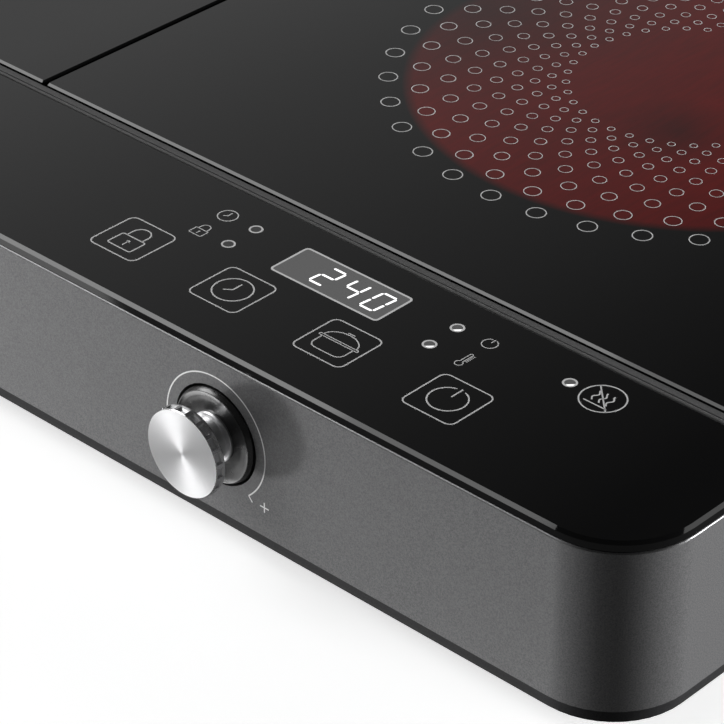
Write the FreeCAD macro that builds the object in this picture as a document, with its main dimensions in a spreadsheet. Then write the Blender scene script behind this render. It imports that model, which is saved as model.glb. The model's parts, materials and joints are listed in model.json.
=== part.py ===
import FreeCAD, Part
import math
import os

import Sketcher

# A two-zone tabletop hot plate: a painted steel body with two radiant heaters under
# black glass, a touch panel along the front and a turning knob for each zone.
#
# Frame: millimetres, +X to the user's right, +Y away from the user, +Z up. The origin
# is on the table, under the middle of the whole object (knobs and cable gland included).

DIMENSIONS = {
    # overall body
    "body_width": 600.0,
    "body_depth": 354.0,
    "total_height": 67.0,
    "corner_radius": 26.0,
    "foot_height": 8.0,
    "band_height": 4.0,
    "sheet_metal": 1.5,
    "knob_proud": 13.3,
    "gland_proud": 6.0,
    # glass deck
    "glass_thick": 3.0,
    "seal_thick": 0.2,
    "glass_inset": 0.3,
    "glass_bevel": 0.95,
    "cook_bevel": 0.68,
    "glass_corner": 1.0,
    "panel_corner": 1.2,
    "flange_width": 16.0,
    "zone_pitch": 300.0,
    "zone_to_front": 212.8,
    "cook_glass_front": 139.18,
    "panel_glass_rear": 144.55,
    "divider_gap": 1.15,
    "trim_rear": 140.3,
    "rail_width": 22.0,
    "rail_drop": 14.0,
    "seal_width": 6.0,
    # knobs
    "knob_drop": 29.0,
    "knob_hole": 16.0,
    "well_flange": 19.0,
    "well_depth": 9.5,
    "shaft_radius": 3.0,
    "running_gap": 0.05,
    "cap_radius": 14.0,
    "cap_thick": 3.4,
    "cap_notches": 19.0,
    "cap_first_rib": 7.2,
    "notch_floor": 13.0,
    # heaters
    "pan_radius": 98.0,
    "pan_height": 25.2,
    "pan_sheet": 0.8,
    "mat_thick": 10.0,
    "ring_inner": 89.0,
    "ribbon_thick": 0.8,
    "ribbon_tall": 6.0,
    "limiter_radius": 3.0,
    # fan
    "fan_size": 80.0,
    "fan_thick": 15.0,
    "fan_bore": 37.5,
    "fan_hub": 15.0,
    "fan_y": 120.0,
    # boards
    "board_thick": 1.6,
    "panel_board_gap": 6.0,
    "power_board_lift": 6.5,
    # feet and screws
    "foot_radius": 12.0,
    "foot_inset_x": 60.0,
    "foot_inset_y": 45.0,
    "screw_radius": 2.0,
    "ear_reach": 10.0,
    "upstand_height": 10.0,
    "screw_head": 3.8,
    # cable gland
    "gland_x": 235.0,
    "gland_rise": 30.0,
    "gland_radius": 8.0,
    "gland_bore": 4.2,
}

SIDES = {"right": 1, "left": -1}

doc = FreeCAD.newDocument("hot_plate")
sheet = doc.addObject("Spreadsheet::Sheet", "dims")
for row, (alias, number) in enumerate(DIMENSIONS.items(), start=1):
    sheet.set(f"A{row}", alias)
    sheet.set(f"B{row}", str(number))
    sheet.setAlias(f"B{row}", alias)
doc.recompute()

nodes = []


class Dim:
    """A length that knows both its number and the spreadsheet expression that gives it."""

    def __init__(self, number, text):
        self.number = number
        self.text = text

    def __add__(self, other):
        other = dim(other)
        return Dim(self.number + other.number, f"({self.text} + {other.text})")

    def __sub__(self, other):
        other = dim(other)
        return Dim(self.number - other.number, f"({self.text} - {other.text})")

    def __mul__(self, factor):
        return Dim(self.number * factor, f"({self.text} * {factor})")

    def __truediv__(self, divisor):
        return Dim(self.number / divisor, f"({self.text} / {divisor})")

    def __neg__(self):
        return Dim(-self.number, f"(0 - {self.text})")

    def __radd__(self, other):
        return dim(other) + self

    def __rsub__(self, other):
        return dim(other) - self


def dim(value):
    if isinstance(value, Dim):
        return value
    if isinstance(value, str):
        return Dim(DIMENSIONS[value], f"dims.{value}")
    return Dim(float(value), f"({float(value)})")


def bind(item, prop, value):
    """Set a size and tie it to the spreadsheet."""
    item.setExpression(prop, dim(value).text)


def place(item, at, turn=None):
    at = [dim(value) for value in at]
    turn = turn or FreeCAD.Rotation()
    item.Placement = FreeCAD.Placement(FreeCAD.Vector(*[value.number for value in at]), turn)
    for letter, value in zip("xyz", at):
        item.setExpression(f"Placement.Base.{letter}", value.text)


def node(name, item):
    """Register a finished sub-part under the name of its file."""
    item.Label = name
    nodes.append((name, item))
    return item


# ---------------------------------------------------------------- derived positions

half_width = dim("body_width") / 2
front = -(dim("body_depth") + dim("knob_proud") + dim("gland_proud")) / 2 + dim("knob_proud")
back = front + dim("body_depth")
middle_y = (front + back) / 2
zone_x = dim("zone_pitch") / 2
zone_y = front + dim("zone_to_front")
top = dim("total_height")
glass_bottom = top - dim("glass_thick")
rim_top = glass_bottom - dim("seal_thick")
flange_bottom = rim_top - dim("sheet_metal")
base_bottom = dim("foot_height")
base_top = base_bottom + dim("sheet_metal")
wall_bottom = base_bottom + dim("band_height")
knob_z = top - dim("knob_drop")
seam_rear = zone_y - dim("cook_glass_front")
seam_front = zone_y - dim("panel_glass_rear")
rail_y = (seam_rear + seam_front) / 2
pan_top = glass_bottom - 0.4
pan_bottom = pan_top - dim("pan_height")
mat_bottom = pan_bottom + dim("pan_sheet")
mat_top = mat_bottom + dim("mat_thick")
panel_board_z = glass_bottom - dim("panel_board_gap") - dim("board_thick")
power_board_z = base_top + dim("power_board_lift")

TO_Y = FreeCAD.Rotation(FreeCAD.Vector(1, 0, 0), -90)
TO_FRONT = FreeCAD.Rotation(FreeCAD.Vector(1, 0, 0), 90)


# ---------------------------------------------------------------- solids from primitives

def box(name, size, corner):
    solid = doc.addObject("Part::Box", name)
    for prop, value in zip(("Length", "Width", "Height"), size):
        bind(solid, prop, value)
    place(solid, corner)
    return solid


def block(name, size, centre, bottom):
    """A box given by its plan centre and its bottom."""
    length, width, height = [dim(value) for value in size]
    x, y = [dim(value) for value in centre]
    return box(name, (length, width, height), (x - length / 2, y - width / 2, bottom))


def cylinder(name, radius, height, base, turn=None, angle=360):
    solid = doc.addObject("Part::Cylinder", name)
    bind(solid, "Radius", radius)
    bind(solid, "Height", height)
    solid.Angle = angle
    place(solid, base, turn)
    return solid


def fuse(name, parts):
    solid = doc.addObject("Part::MultiFuse", name)
    solid.Shapes = parts
    return solid


def cut(name, base, tools):
    solid = doc.addObject("Part::Cut", name)
    solid.Base = base
    solid.Tool = tools[0] if len(tools) == 1 else fuse(f"{name}_tools", tools)
    return solid


def group(name, parts):
    solid = doc.addObject("Part::Compound", name)
    solid.Links = parts
    return solid


def tube(name, outer, inner, height, base, turn=None):
    return cut(name, cylinder(f"{name}_outer", outer, height, base, turn),
               [cylinder(f"{name}_inner", inner, height, base, turn)])


# ---------------------------------------------------------------- bodies from sketches

def new_body(name, at, turn=None):
    body = doc.addObject("PartDesign::Body", name)
    place(body, at, turn)
    return body


def sketch_on(body, role, name, offset=0):
    support = [feature for feature in body.Origin.OriginFeatures if feature.Role == role][0]
    sketch = body.newObject("Sketcher::SketchObject", name)
    sketch.AttachmentSupport = (support, [""])
    sketch.MapMode = "FlatFace"
    sketch.setExpression("AttachmentOffset.Base.z", dim(offset).text)
    return sketch


def hold(sketch, kind, args, value):
    """Add a dimension to a sketch and tie it to the spreadsheet."""
    value = dim(value)
    index = sketch.addConstraint(Sketcher.Constraint(kind, *args, value.number))
    sketch.setExpression(f"Constraints[{index}]", value.text)


def from_origin(sketch, kind, geometry, point, value):
    """Dimension a point from the sketch's origin, on either side of it."""
    value = dim(value)
    if value.number >= 0:
        hold(sketch, kind, (-1, 1, geometry, point), value)
    else:
        hold(sketch, kind, (geometry, point, -1, 1), -value)


def segment(start, end):
    return Part.LineSegment(FreeCAD.Vector(*start, 0), FreeCAD.Vector(*end, 0))


def rounded_outline(sketch, half_x, half_y, radii, centre=(0, 0)):
    """A rectangle with a rounded corner at front right, rear right, rear left and front left."""
    half_x, half_y = dim(half_x), dim(half_y)
    radii = [dim(radius) for radius in radii]
    x, y = [dim(value) for value in centre]
    corners = [(1, -1), (1, 1), (-1, 1), (-1, -1)]
    points = [(x.number + sx * half_x.number, y.number + sy * half_y.number) for sx, sy in corners]
    along = [(0, 1), (-1, 0), (0, -1), (1, 0)]
    first = sketch.GeometryCount
    for index, (corner, radius) in enumerate(zip(points, radii)):
        sx, sy = corners[index]
        centre_point = FreeCAD.Vector(corner[0] - sx * radius.number, corner[1] - sy * radius.number, 0)
        circle = Part.Circle(centre_point, FreeCAD.Vector(0, 0, 1), radius.number)
        start = math.radians(-90 + 90 * index)
        sketch.addGeometry(Part.ArcOfCircle(circle, start, start + math.pi / 2), False)
    for index in range(4):
        after = (index + 1) % 4
        step = along[index]
        begin = [points[index][axis] + step[axis] * radii[index].number for axis in (0, 1)]
        end = [points[after][axis] - step[axis] * radii[after].number for axis in (0, 1)]
        sketch.addGeometry(segment(begin, end), False)
    for index in range(4):
        line = first + 4 + index
        sketch.addConstraint(Sketcher.Constraint("Tangent", first + index, 2, line, 1))
        sketch.addConstraint(Sketcher.Constraint("Tangent", line, 2, first + (index + 1) % 4, 1))
        sketch.addConstraint(Sketcher.Constraint("Vertical" if index % 2 == 0 else "Horizontal", line))
        hold(sketch, "Radius", (first + index,), radii[index])
    from_origin(sketch, "DistanceX", first + 4, 1, x + half_x)
    from_origin(sketch, "DistanceX", first + 6, 1, x - half_x)
    from_origin(sketch, "DistanceY", first + 5, 1, y + half_y)
    from_origin(sketch, "DistanceY", first + 7, 1, y - half_y)


def circle_at(sketch, x, y, radius):
    x, y, radius = dim(x), dim(y), dim(radius)
    index = sketch.addGeometry(
        Part.Circle(FreeCAD.Vector(x.number, y.number, 0), FreeCAD.Vector(0, 0, 1), radius.number), False)
    hold(sketch, "Radius", (index,), radius)
    from_origin(sketch, "DistanceX", index, 3, x)
    from_origin(sketch, "DistanceY", index, 3, y)


def polygon(sketch, points):
    """A closed outline of straight sides through points given from the sketch's origin."""
    points = [(dim(x), dim(y)) for x, y in points]
    first = sketch.GeometryCount
    count = len(points)
    for index, (x, y) in enumerate(points):
        after = points[(index + 1) % count]
        sketch.addGeometry(segment((x.number, y.number), (after[0].number, after[1].number)), False)
    for index in range(count):
        after = first + (index + 1) % count
        sketch.addConstraint(Sketcher.Constraint("Coincident", first + index, 2, after, 1))
    for index, (x, y) in enumerate(points):
        from_origin(sketch, "DistanceX", first + index, 1, x)
        from_origin(sketch, "DistanceY", first + index, 1, y)


def pad(body, sketch, length):
    feature = body.newObject("PartDesign::Pad", f"{sketch.Name}_pad")
    feature.Profile = sketch
    bind(feature, "Length", length)
    sketch.Visibility = False
    return feature


def pocket(body, sketch, length, backwards=False):
    feature = body.newObject("PartDesign::Pocket", f"{sketch.Name}_pocket")
    feature.Profile = sketch
    feature.Reversed = backwards
    bind(feature, "Length", length)
    return feature


def revolve(body, sketch):
    """Turn a profile drawn on the XZ plane once round its own vertical axis."""
    feature = body.newObject("PartDesign::Revolution", f"{sketch.Name}_turned")
    feature.Profile = sketch
    feature.ReferenceAxis = (sketch, ["V_Axis"])
    feature.Angle = 360
    return feature


def repeat(body, feature, sketch, axis, length, count):
    pattern = body.newObject("PartDesign::LinearPattern", f"{feature.Name}_row")
    pattern.Originals = [feature]
    pattern.Direction = (sketch, [axis])
    bind(pattern, "Length", length)
    pattern.Occurrences = count
    body.Tip = pattern
    return pattern


def edges_at(shape, test):
    return [f"Edge{index}" for index, edge in enumerate(shape.Edges, start=1) if test(edge)]


def at_height(height):
    return lambda edge: all(abs(vertex.Z - height) < 1e-4 for vertex in edge.Vertexes)


def dress(body, kind, base, names, size):
    """Chamfer or fillet the named edges of the last feature."""
    doc.recompute()
    feature = body.newObject(f"PartDesign::{kind}", f"{base.Name}_{kind}")
    feature.Base = (base, names)
    bind(feature, "Size" if kind == "Chamfer" else "Radius", size)
    return feature


# ---------------------------------------------------------------- casing

SCREW_SHARES = [(0.93, 0.55), (0.3, 0.955)]
REAR_VENTS = {"half_x": 1.75, "half_y": 11.0, "corner": 1.7, "row": 104.0, "count": 14}
REAR_VENT_STARTS = {"right": (28.0, 34.0), "left": (-132.0, 34.0)}
BASE_VENTS = {"half_x": 2.0, "half_y": 22.0, "corner": 1.9, "row": 132.0, "count": 12}
FAN_GRILLE = {"half_x": 1.75, "half_y": 30.0, "corner": 1.7, "row": 56.0, "count": 8}


def screw_places():
    """Eight base screws, two near each corner, measured from the middle of the body."""
    half_depth = dim("body_depth") / 2
    return [(half_width * (sx * share_x), half_depth * (sy * share_y))
            for sx in (-1, 1) for sy in (-1, 1) for share_x, share_y in SCREW_SHARES]


def near_side_wall(x):
    """True for the screws beside the left and right walls, false for front and rear."""
    return abs(x.number) > half_width.number * 0.8


def sign(value):
    return 1 if value.number > 0 else -1


def foot_places():
    x = half_width - dim("foot_inset_x")
    y = dim("body_depth") / 2 - dim("foot_inset_y")
    return [(x * sx, y * sy) for sx in (-1, 1) for sy in (-1, 1)]


def vent_row(body, plane, name, offset, first_slot, vents, depth):
    """A straight row of equal slots, cut inwards from the sketch's plane."""
    slot = sketch_on(body, plane, name, offset)
    rounded_outline(slot, vents["half_x"], vents["half_y"], [vents["corner"]] * 4, first_slot)
    vent = pocket(body, slot, depth, backwards=True)
    return repeat(body, vent, slot, "H_Axis", vents["row"], vents["count"])


def shell_ears(body, half_depth):
    """Tabs that turn in from the wall's lower edge to take the base screws."""
    metal = dim("sheet_metal")
    ear = dim("ear_reach")
    ears = sketch_on(body, "XY_Plane", "shell_ears", wall_bottom)
    for x, y in screw_places():
        if near_side_wall(x):
            low, high = x * sign(x) - ear, half_width - metal
            centre, half = ((low + high) / 2 * sign(x), y), ((high - low) / 2, ear)
        else:
            low, high = y * sign(y) - ear, half_depth - metal
            centre, half = (x, (low + high) / 2 * sign(y)), (ear, (high - low) / 2)
        rounded_outline(ears, half[0], half[1], [1.0] * 4, centre)
    pad(body, ears, metal)

    holes = sketch_on(body, "XY_Plane", "shell_ear_holes", wall_bottom + metal)
    for x, y in screw_places():
        circle_at(holes, x, y, "screw_radius")
    pocket(body, holes, metal)


def shell_openings(body, half_depth):
    """Knob holes in the front wall, the gland hole and the vents in the rear wall."""
    through = dim("sheet_metal") * 2
    knob_holes = sketch_on(body, "XZ_Plane", "shell_knob_holes", half_depth)
    for side in SIDES.values():
        circle_at(knob_holes, zone_x * side, knob_z, "knob_hole")
    pocket(body, knob_holes, through)

    rear_hole = sketch_on(body, "XZ_Plane", "shell_gland_hole", -half_depth)
    circle_at(rear_hole, -dim("gland_x"), "gland_rise", "gland_radius")
    pocket(body, rear_hole, through, backwards=True)

    for name, first_slot in REAR_VENT_STARTS.items():
        last = vent_row(body, "XZ_Plane", f"shell_vent_{name}", -half_depth, first_slot, REAR_VENTS, through)
    return last


def housing_shell():
    """Painted steel band with rounded corners and an inward flange that carries the glass."""
    body = new_body("housing_body", (0, middle_y, 0))
    half_depth = dim("body_depth") / 2
    metal = dim("sheet_metal")
    radius = dim("corner_radius")

    wall = sketch_on(body, "XY_Plane", "shell_wall", wall_bottom)
    rounded_outline(wall, half_width, half_depth, [radius] * 4)
    rounded_outline(wall, half_width - metal, half_depth - metal, [radius - metal] * 4)
    pad(body, wall, flange_bottom - wall_bottom)

    flange = sketch_on(body, "XY_Plane", "shell_flange", flange_bottom)
    opening = dim("flange_width")
    rounded_outline(flange, half_width, half_depth, [radius] * 4)
    rounded_outline(flange, half_width - opening, half_depth - opening, [radius - opening] * 4)
    pad(body, flange, metal)

    shell_ears(body, half_depth)
    last = shell_openings(body, half_depth)
    doc.recompute()
    outer_rim = edges_at(last.Shape, lambda edge: at_height(rim_top.number)(edge) and is_outer(edge))
    dress(body, "Fillet", last, outer_rim, 0.8)
    return node("housing_shell", body)


def is_outer(edge):
    """True on the outermost edge loop of the body, straight or round."""
    limit_x = half_width.number - dim("corner_radius").number
    limit_y = dim("body_depth").number / 2 - dim("corner_radius").number
    middle = edge.valueAt((edge.FirstParameter + edge.LastParameter) / 2)
    beyond = math.hypot(max(abs(middle.x) - limit_x, 0), max(abs(middle.y) - limit_y, 0))
    return beyond > dim("corner_radius").number - 0.5


def tray_rims(body, half_depth):
    """The dark band under the wall, and an upstand inside it with a window at each ear."""
    inset = dim(0.8)
    radius = dim("corner_radius") - inset
    band = dim(3.0)
    edge = sketch_on(body, "XY_Plane", "tray_band", base_bottom)
    rounded_outline(edge, half_width - inset, half_depth - inset, [radius] * 4)
    rounded_outline(edge, half_width - inset - band, half_depth - inset - band, [radius - band] * 4)
    pad(body, edge, "band_height")

    upstand = sketch_on(body, "XY_Plane", "tray_upstand", base_bottom)
    near = dim("sheet_metal") + 0.3
    far = near + 1.2
    rounded_outline(upstand, half_width - near, half_depth - near, [dim("corner_radius") - near] * 4)
    rounded_outline(upstand, half_width - far, half_depth - far, [dim("corner_radius") - far] * 4)
    pad(body, upstand, "upstand_height")

    windows = sketch_on(body, "XY_Plane", "tray_windows", base_bottom + dim("upstand_height"))
    half_across = dim(4.9)
    half_along = dim("ear_reach") + 1
    for x, y in screw_places():
        if near_side_wall(x):
            centre, half = ((half_width - 5) * sign(x), y), (half_across, half_along)
        else:
            centre, half = (x, (half_depth - 5) * sign(y)), (half_along, half_across)
        rounded_outline(windows, half[0], half[1], [0.5] * 4, centre)
    pocket(body, windows, dim("upstand_height") - dim("band_height"))


def base_tray():
    """Folded steel bottom: a plate, the dark band under the wall and an upstand inside it."""
    body = new_body("tray_body", (0, middle_y, 0))
    half_depth = dim("body_depth") / 2
    inset = dim(0.8)
    radius = dim("corner_radius") - inset

    plate = sketch_on(body, "XY_Plane", "tray_plate", base_bottom)
    rounded_outline(plate, half_width - inset, half_depth - inset, [radius] * 4)
    pad(body, plate, "sheet_metal")
    tray_rims(body, half_depth)

    posts = sketch_on(body, "XY_Plane", "tray_posts", base_bottom)
    for x, y in screw_places():
        circle_at(posts, x, y, 5.0)
    pad(body, posts, "band_height")

    holes = sketch_on(body, "XY_Plane", "tray_screw_holes", base_bottom)
    for x, y in screw_places() + foot_places():
        circle_at(holes, x, y, "screw_radius")
    pocket(body, holes, "band_height", backwards=True)

    for name, side in SIDES.items():
        first_slot = (zone_x * side - BASE_VENTS["row"] / 2, 10.0)
        vent_row(body, "XY_Plane", f"tray_vent_{name}", base_bottom, first_slot, BASE_VENTS, "sheet_metal")
    first_slot = (-FAN_GRILLE["row"] / 2, dim("fan_y") - middle_y)
    vent_row(body, "XY_Plane", "tray_fan_grille", base_bottom, first_slot, FAN_GRILLE, "sheet_metal")
    return node("base_tray", body)


# ---------------------------------------------------------------- glass deck

def glass_plate(name, x_range, y_range, radii, bevel):
    """A flat pane with a bevel all round its upper edge."""
    x_low, x_high = [dim(value) for value in x_range]
    y_low, y_high = [dim(value) for value in y_range]
    body = new_body(f"{name}_body", ((x_low + x_high) / 2, (y_low + y_high) / 2, glass_bottom))
    outline = sketch_on(body, "XY_Plane", f"{name}_outline")
    rounded_outline(outline, (x_high - x_low) / 2, (y_high - y_low) / 2, radii)
    pane = pad(body, outline, "glass_thick")
    doc.recompute()
    names = edges_at(pane.Shape, at_height(dim("glass_thick").number))
    dress(body, "Chamfer", pane, names, bevel)
    return node(name, body)


def glass_deck():
    inset = dim("glass_inset")
    edge_x = half_width - inset
    corner = dim("corner_radius") - inset
    small = dim("glass_corner")
    rear = dim("panel_corner")
    gap = dim("divider_gap") / 2
    depth = (seam_rear, back - inset)
    panel_radii = [corner, rear, rear, corner]
    glass_plate("control_glass", (-edge_x, edge_x), (front + inset, seam_front), panel_radii, "glass_bevel")
    glass_plate("cooktop_glass_right", (gap, edge_x), depth, [small, corner, small, small], "cook_bevel")
    glass_plate("cooktop_glass_left", (-edge_x, -gap), depth, [small, small, corner, small], "cook_bevel")


def seal_frame(name, x_range, y_range, outer_inset):
    """A flat silicone frame lying on the steel under the border of one pane."""
    x_low, x_high = [dim(value) for value in x_range]
    y_low, y_high = [dim(value) for value in y_range]
    inset = dim(outer_inset)
    width = dim("seal_width")
    size = (x_high - x_low - inset * 2, y_high - y_low - inset * 2, dim("seal_thick"))
    outer = box(f"{name}_outer", size, (x_low + inset, y_low + inset, rim_top))
    hole_size = (size[0] - width * 2, size[1] - width * 2, dim("seal_thick"))
    hole = box(f"{name}_hole", hole_size, (x_low + inset + width, y_low + inset + width, rim_top))
    return cut(name, outer, [hole])


def glass_seal():
    width = dim("seal_width")
    edge_x = half_width - dim("glass_inset") - width
    gap = dim("divider_gap") / 2
    inset = 2.5
    frames = [
        seal_frame("seal_panel", (-edge_x, edge_x), (front + width, seam_front), inset),
        seal_frame("seal_right", (gap, edge_x), (seam_rear, back - width), inset),
        seal_frame("seal_left", (-edge_x, -gap), (seam_rear, back - width), inset),
    ]
    return node("glass_seal", group("seal_frames", frames))


def seam_trim():
    """Painted strip that closes the seam: a sunken flat, a shadow groove and a raised lip."""
    length = dim("body_width") - dim("glass_inset") * 2
    rear = dim("panel_glass_rear") - dim("trim_rear")
    body = new_body("trim_body", (-length / 2, seam_front + 0.05, rim_top))
    profile = sketch_on(body, "YZ_Plane", "trim_profile")
    height = top - rim_top
    polygon(profile, [
        (0, 0),
        (rear - 0.05, 0),
        (rear - 0.05, height - 0.6),
        (rear - 0.15, height - 0.5),
        (rear - 2.2, height - 0.5),
        (rear - 2.3, height - 0.6),
        (rear - 2.3, height - 1.3),
        (0.95, height - 1.3),
        (0.95, height - 0.3),
        (0.75, height - 0.06),
        (0.4, height),
        (0.15, height - 0.1),
        (0, height - 0.25),
    ])
    pad(body, profile, length)
    return node("seam_trim", body)


def channel(name, length, centre, along_x):
    """An upside-down U rail, its top level with the flange, with a tab under each flange."""
    width = dim("rail_width")
    metal = dim("sheet_metal")
    drop = dim("rail_drop")
    x, y = [dim(value) for value in centre]
    length = dim(length)
    tab = length + 16

    def bar(suffix, long, wide, tall, shift, bottom):
        size = (long, wide, tall) if along_x else (wide, long, tall)
        middle = (x, y + shift) if along_x else (x + shift, y)
        return block(f"{name}_{suffix}", size, middle, bottom)

    web_shift = width / 2 - metal / 2
    return fuse(name, [
        bar("top", length, width, metal, dim(0), flange_bottom),
        bar("tabs", tab, width - 6, metal, dim(0), flange_bottom - metal),
        bar("web_near", length, metal, drop, -web_shift, flange_bottom - drop),
        bar("web_far", length, metal, drop, web_shift, flange_bottom - drop),
    ])


def glass_rails():
    opening = dim("flange_width")
    seam = channel("seam_channel", dim("body_width") - opening * 2, (0, rail_y), True)
    node("seam_rail", seam)
    near = rail_y + dim("rail_width") / 2
    far = back - opening
    size = (dim("rail_width"), far - near, dim("sheet_metal"))
    metal = dim("sheet_metal")
    drop = dim("rail_drop")
    top_plate = box("divider_top", size, (-dim("rail_width") / 2, near, flange_bottom))
    tab = box("divider_tab", (16, 12, metal), (-8, far - 4, flange_bottom - metal))
    webs = [box(f"divider_web_{index}", (metal, far - near, drop), (x, near, flange_bottom - drop))
            for index, x in enumerate((-dim("rail_width") / 2, dim("rail_width") / 2 - metal))]
    node("divider_rail", fuse("divider_channel", [top_plate, tab] + webs))


# ---------------------------------------------------------------- control panel

KEY_PITCH = 41.25
KEY_CENTRE = 2.55
KEY_ROW = 187.1
LAMP_PLACES = [(-37.0, 158.4), (-37.0, 169.9), (42.2, 158.2), (42.2, 169.9), (83.3, 158.0)]
LAMP_RADIUS = 2.2
DISPLAY = {"x": 2.25, "row": 163.45, "long": 41.5, "wide": 15.75, "wall": 1.5, "recess": 2.0}
TOUCH_BOARD = {"x": 12.0, "row": 177.5, "long": 190.0, "wide": 46.0}
TOUCH_PAD_RADIUS = 6.0


def key_places(side):
    """Centres of the four touch fields of one zone."""
    offsets = [KEY_CENTRE + (index - 1.5) * KEY_PITCH for index in range(4)]
    return [(zone_x * side + offset, zone_y - KEY_ROW) for offset in offsets]


def control_side(name, side):
    """Touch board with display, lamps and foam pads that reach up to the glass."""
    gap = dim("panel_board_gap")
    under_glass = gap - 0.1
    board_top = panel_board_z + dim("board_thick")
    centre_x = zone_x * side

    board_size = (TOUCH_BOARD["long"], TOUCH_BOARD["wide"], "board_thick")
    board_place = (centre_x + TOUCH_BOARD["x"], zone_y - TOUCH_BOARD["row"])
    node(f"control_board_{name}", block(f"panel_board_{name}", board_size, board_place, panel_board_z))

    long, wide, wall, recess = [DISPLAY[key] for key in ("long", "wide", "wall", "recess")]
    display_place = (centre_x + DISPLAY["x"], zone_y - DISPLAY["row"])
    case = block(f"display_case_{name}", (long, wide, under_glass), display_place, board_top)
    window = block(f"display_hollow_{name}", (long - 2 * wall, wide - 2 * wall, recess),
                   display_place, board_top + under_glass - recess)
    node(f"display_module_{name}", cut(f"display_{name}", case, [window]))

    spots = [(centre_x + x, zone_y - row, board_top) for x, row in LAMP_PLACES]
    lamps = [cylinder(f"lamp_{name}_{index}", LAMP_RADIUS, under_glass, spot)
             for index, spot in enumerate(spots)]
    node(f"indicator_lamps_{name}", group(f"lamps_{name}", lamps))
    pads = [cylinder(f"touch_{name}_{index}", TOUCH_PAD_RADIUS, gap, (x, y, board_top))
            for index, (x, y) in enumerate(key_places(side))]
    node(f"touch_pads_{name}", group(f"pads_{name}", pads))


def control_carrier():
    """Moulded tray that holds both touch boards on short posts."""
    y = zone_y - 175.5
    post_tall = 3.4
    floor_z = panel_board_z - post_tall
    floor = block("carrier_floor", (530, 44, 2), (0, y), floor_z)
    posts = []
    for side in SIDES.values():
        for sx in (-1, 1):
            for sy in (-1, 1):
                centre = (zone_x * side + TOUCH_BOARD["x"] + 85 * sx, y + 16 * sy, floor_z)
                posts.append(cylinder(f"carrier_post_{len(posts)}", 3.0, post_tall, centre))
    return node("control_carrier", fuse("carrier", [floor] + posts))


# ---------------------------------------------------------------- knobs and encoders

BUSH_RADIUS = 3.5


def turned_part(name, side, profile):
    """A round part on a knob's axis; its profile runs from the wall towards the user."""
    body = new_body(f"{name}_body", (zone_x * side, front, knob_z), TO_FRONT)
    sketch = sketch_on(body, "XZ_Plane", f"{name}_profile")
    polygon(sketch, profile)
    revolve(body, sketch)
    return body


def knob_well(name, side):
    """Cup behind the wall that the knob's skirt sinks into."""
    inner = dim("knob_hole")
    outer = inner + 1.4
    deep = dim("sheet_metal")
    floor = dim("well_depth") - 2
    body = turned_part(f"well_{name}", side, [
        (3.6, -dim("well_depth")),
        (outer, -dim("well_depth")),
        (outer, -deep - 2),
        ("well_flange", -deep - 2),
        ("well_flange", -deep),
        (inner, -deep),
        (inner, -floor),
        (3.6, -floor),
    ])
    node(f"knob_well_{name}", body)


def encoder(name, side):
    """Rotary encoder: a square case behind the well and a threaded bush through it."""
    seat = front + dim("well_depth")
    centre_x = zone_x * side
    width = 12.5
    deep = 7.0
    case = box(f"encoder_case_{name}", (width, deep, width), (centre_x - width / 2, seat, knob_z - width / 2))
    bush = cylinder(f"encoder_bush_{name}", BUSH_RADIUS, 5.6, (centre_x, seat + 0.1, knob_z), TO_FRONT)
    lead = cylinder(f"encoder_bore_{name}", dim("shaft_radius") + dim("running_gap"), 11.6,
                    (centre_x, seat + 6.1, knob_z), TO_FRONT)
    pins = []
    for index in range(3):
        pin_corner = (centre_x - 3.4 + index * 3, seat + deep, knob_z - 5)
        pins.append(box(f"encoder_pin_{name}_{index}", (0.8, 3.0, 0.3), pin_corner))
    solid = cut(f"encoder_{name}", fuse(f"encoder_solid_{name}", [case, bush] + pins), [lead])
    node(f"encoder_body_{name}", solid)
    shaft = cylinder(f"shaft_round_{name}", "shaft_radius", 21.5, (centre_x, seat + 6.0, knob_z), TO_FRONT)
    flat = box(f"shaft_flat_{name}", (8, 9, 3), (centre_x - 4, front - 6.5, knob_z + 1.5))
    node(f"encoder_shaft_{name}", cut(f"shaft_{name}", shaft, [flat]))


def encoder_nuts():
    nuts = []
    seat = front + dim("well_depth") - 2
    for name, side in SIDES.items():
        prism = doc.addObject("Part::Prism", f"nut_{name}")
        prism.Polygon = 6
        prism.Circumradius = 5.8
        prism.Height = 2.0
        place(prism, (zone_x * side, seat, knob_z), TO_FRONT)
        hole = cylinder(f"nut_hole_{name}", BUSH_RADIUS, 2.0, (zone_x * side, seat, knob_z), TO_FRONT)
        nuts.append(cut(f"nut_cut_{name}", prism, [hole]))
    return node("encoder_nuts", group("nuts", nuts))


def knob_skirt(name, side):
    """Black dished flange with a hub that grips the shaft."""
    bore = dim("shaft_radius") + 0.02
    body = turned_part(f"skirt_{name}", side, [
        (bore, -3.6),
        (6.0, -3.6),
        (6.0, -2.6),
        (15.2, -2.6),
        (15.3, -0.2),
        (15.1, 0.5),
        (14.45, 1.45),
        (14.2, 1.5),
        (13.6, 1.25),
        (11.0, 0.85),
        (9.0, 0.8),
        (7.9, 0.9),
        (4.2, 0.9),
        (4.2, 8.6),
        (bore, 8.6),
    ])
    node(f"knob_skirt_{name}", body)


def knob_collar(name, side):
    """Metal sleeve between the skirt and the cap, with a stepped foot."""
    cap_back = dim("knob_proud") - dim("cap_thick")
    body = turned_part(f"collar_{name}", side, [
        (4.25, 0.95),
        (7.9, 0.95),
        (8.0, 1.6),
        (7.7, 1.9),
        (7.1, 2.0),
        (6.6, 2.3),
        (6.4, 2.9),
        (6.4, cap_back),
        (4.25, cap_back),
    ])
    node(f"knob_collar_{name}", body)


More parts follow.
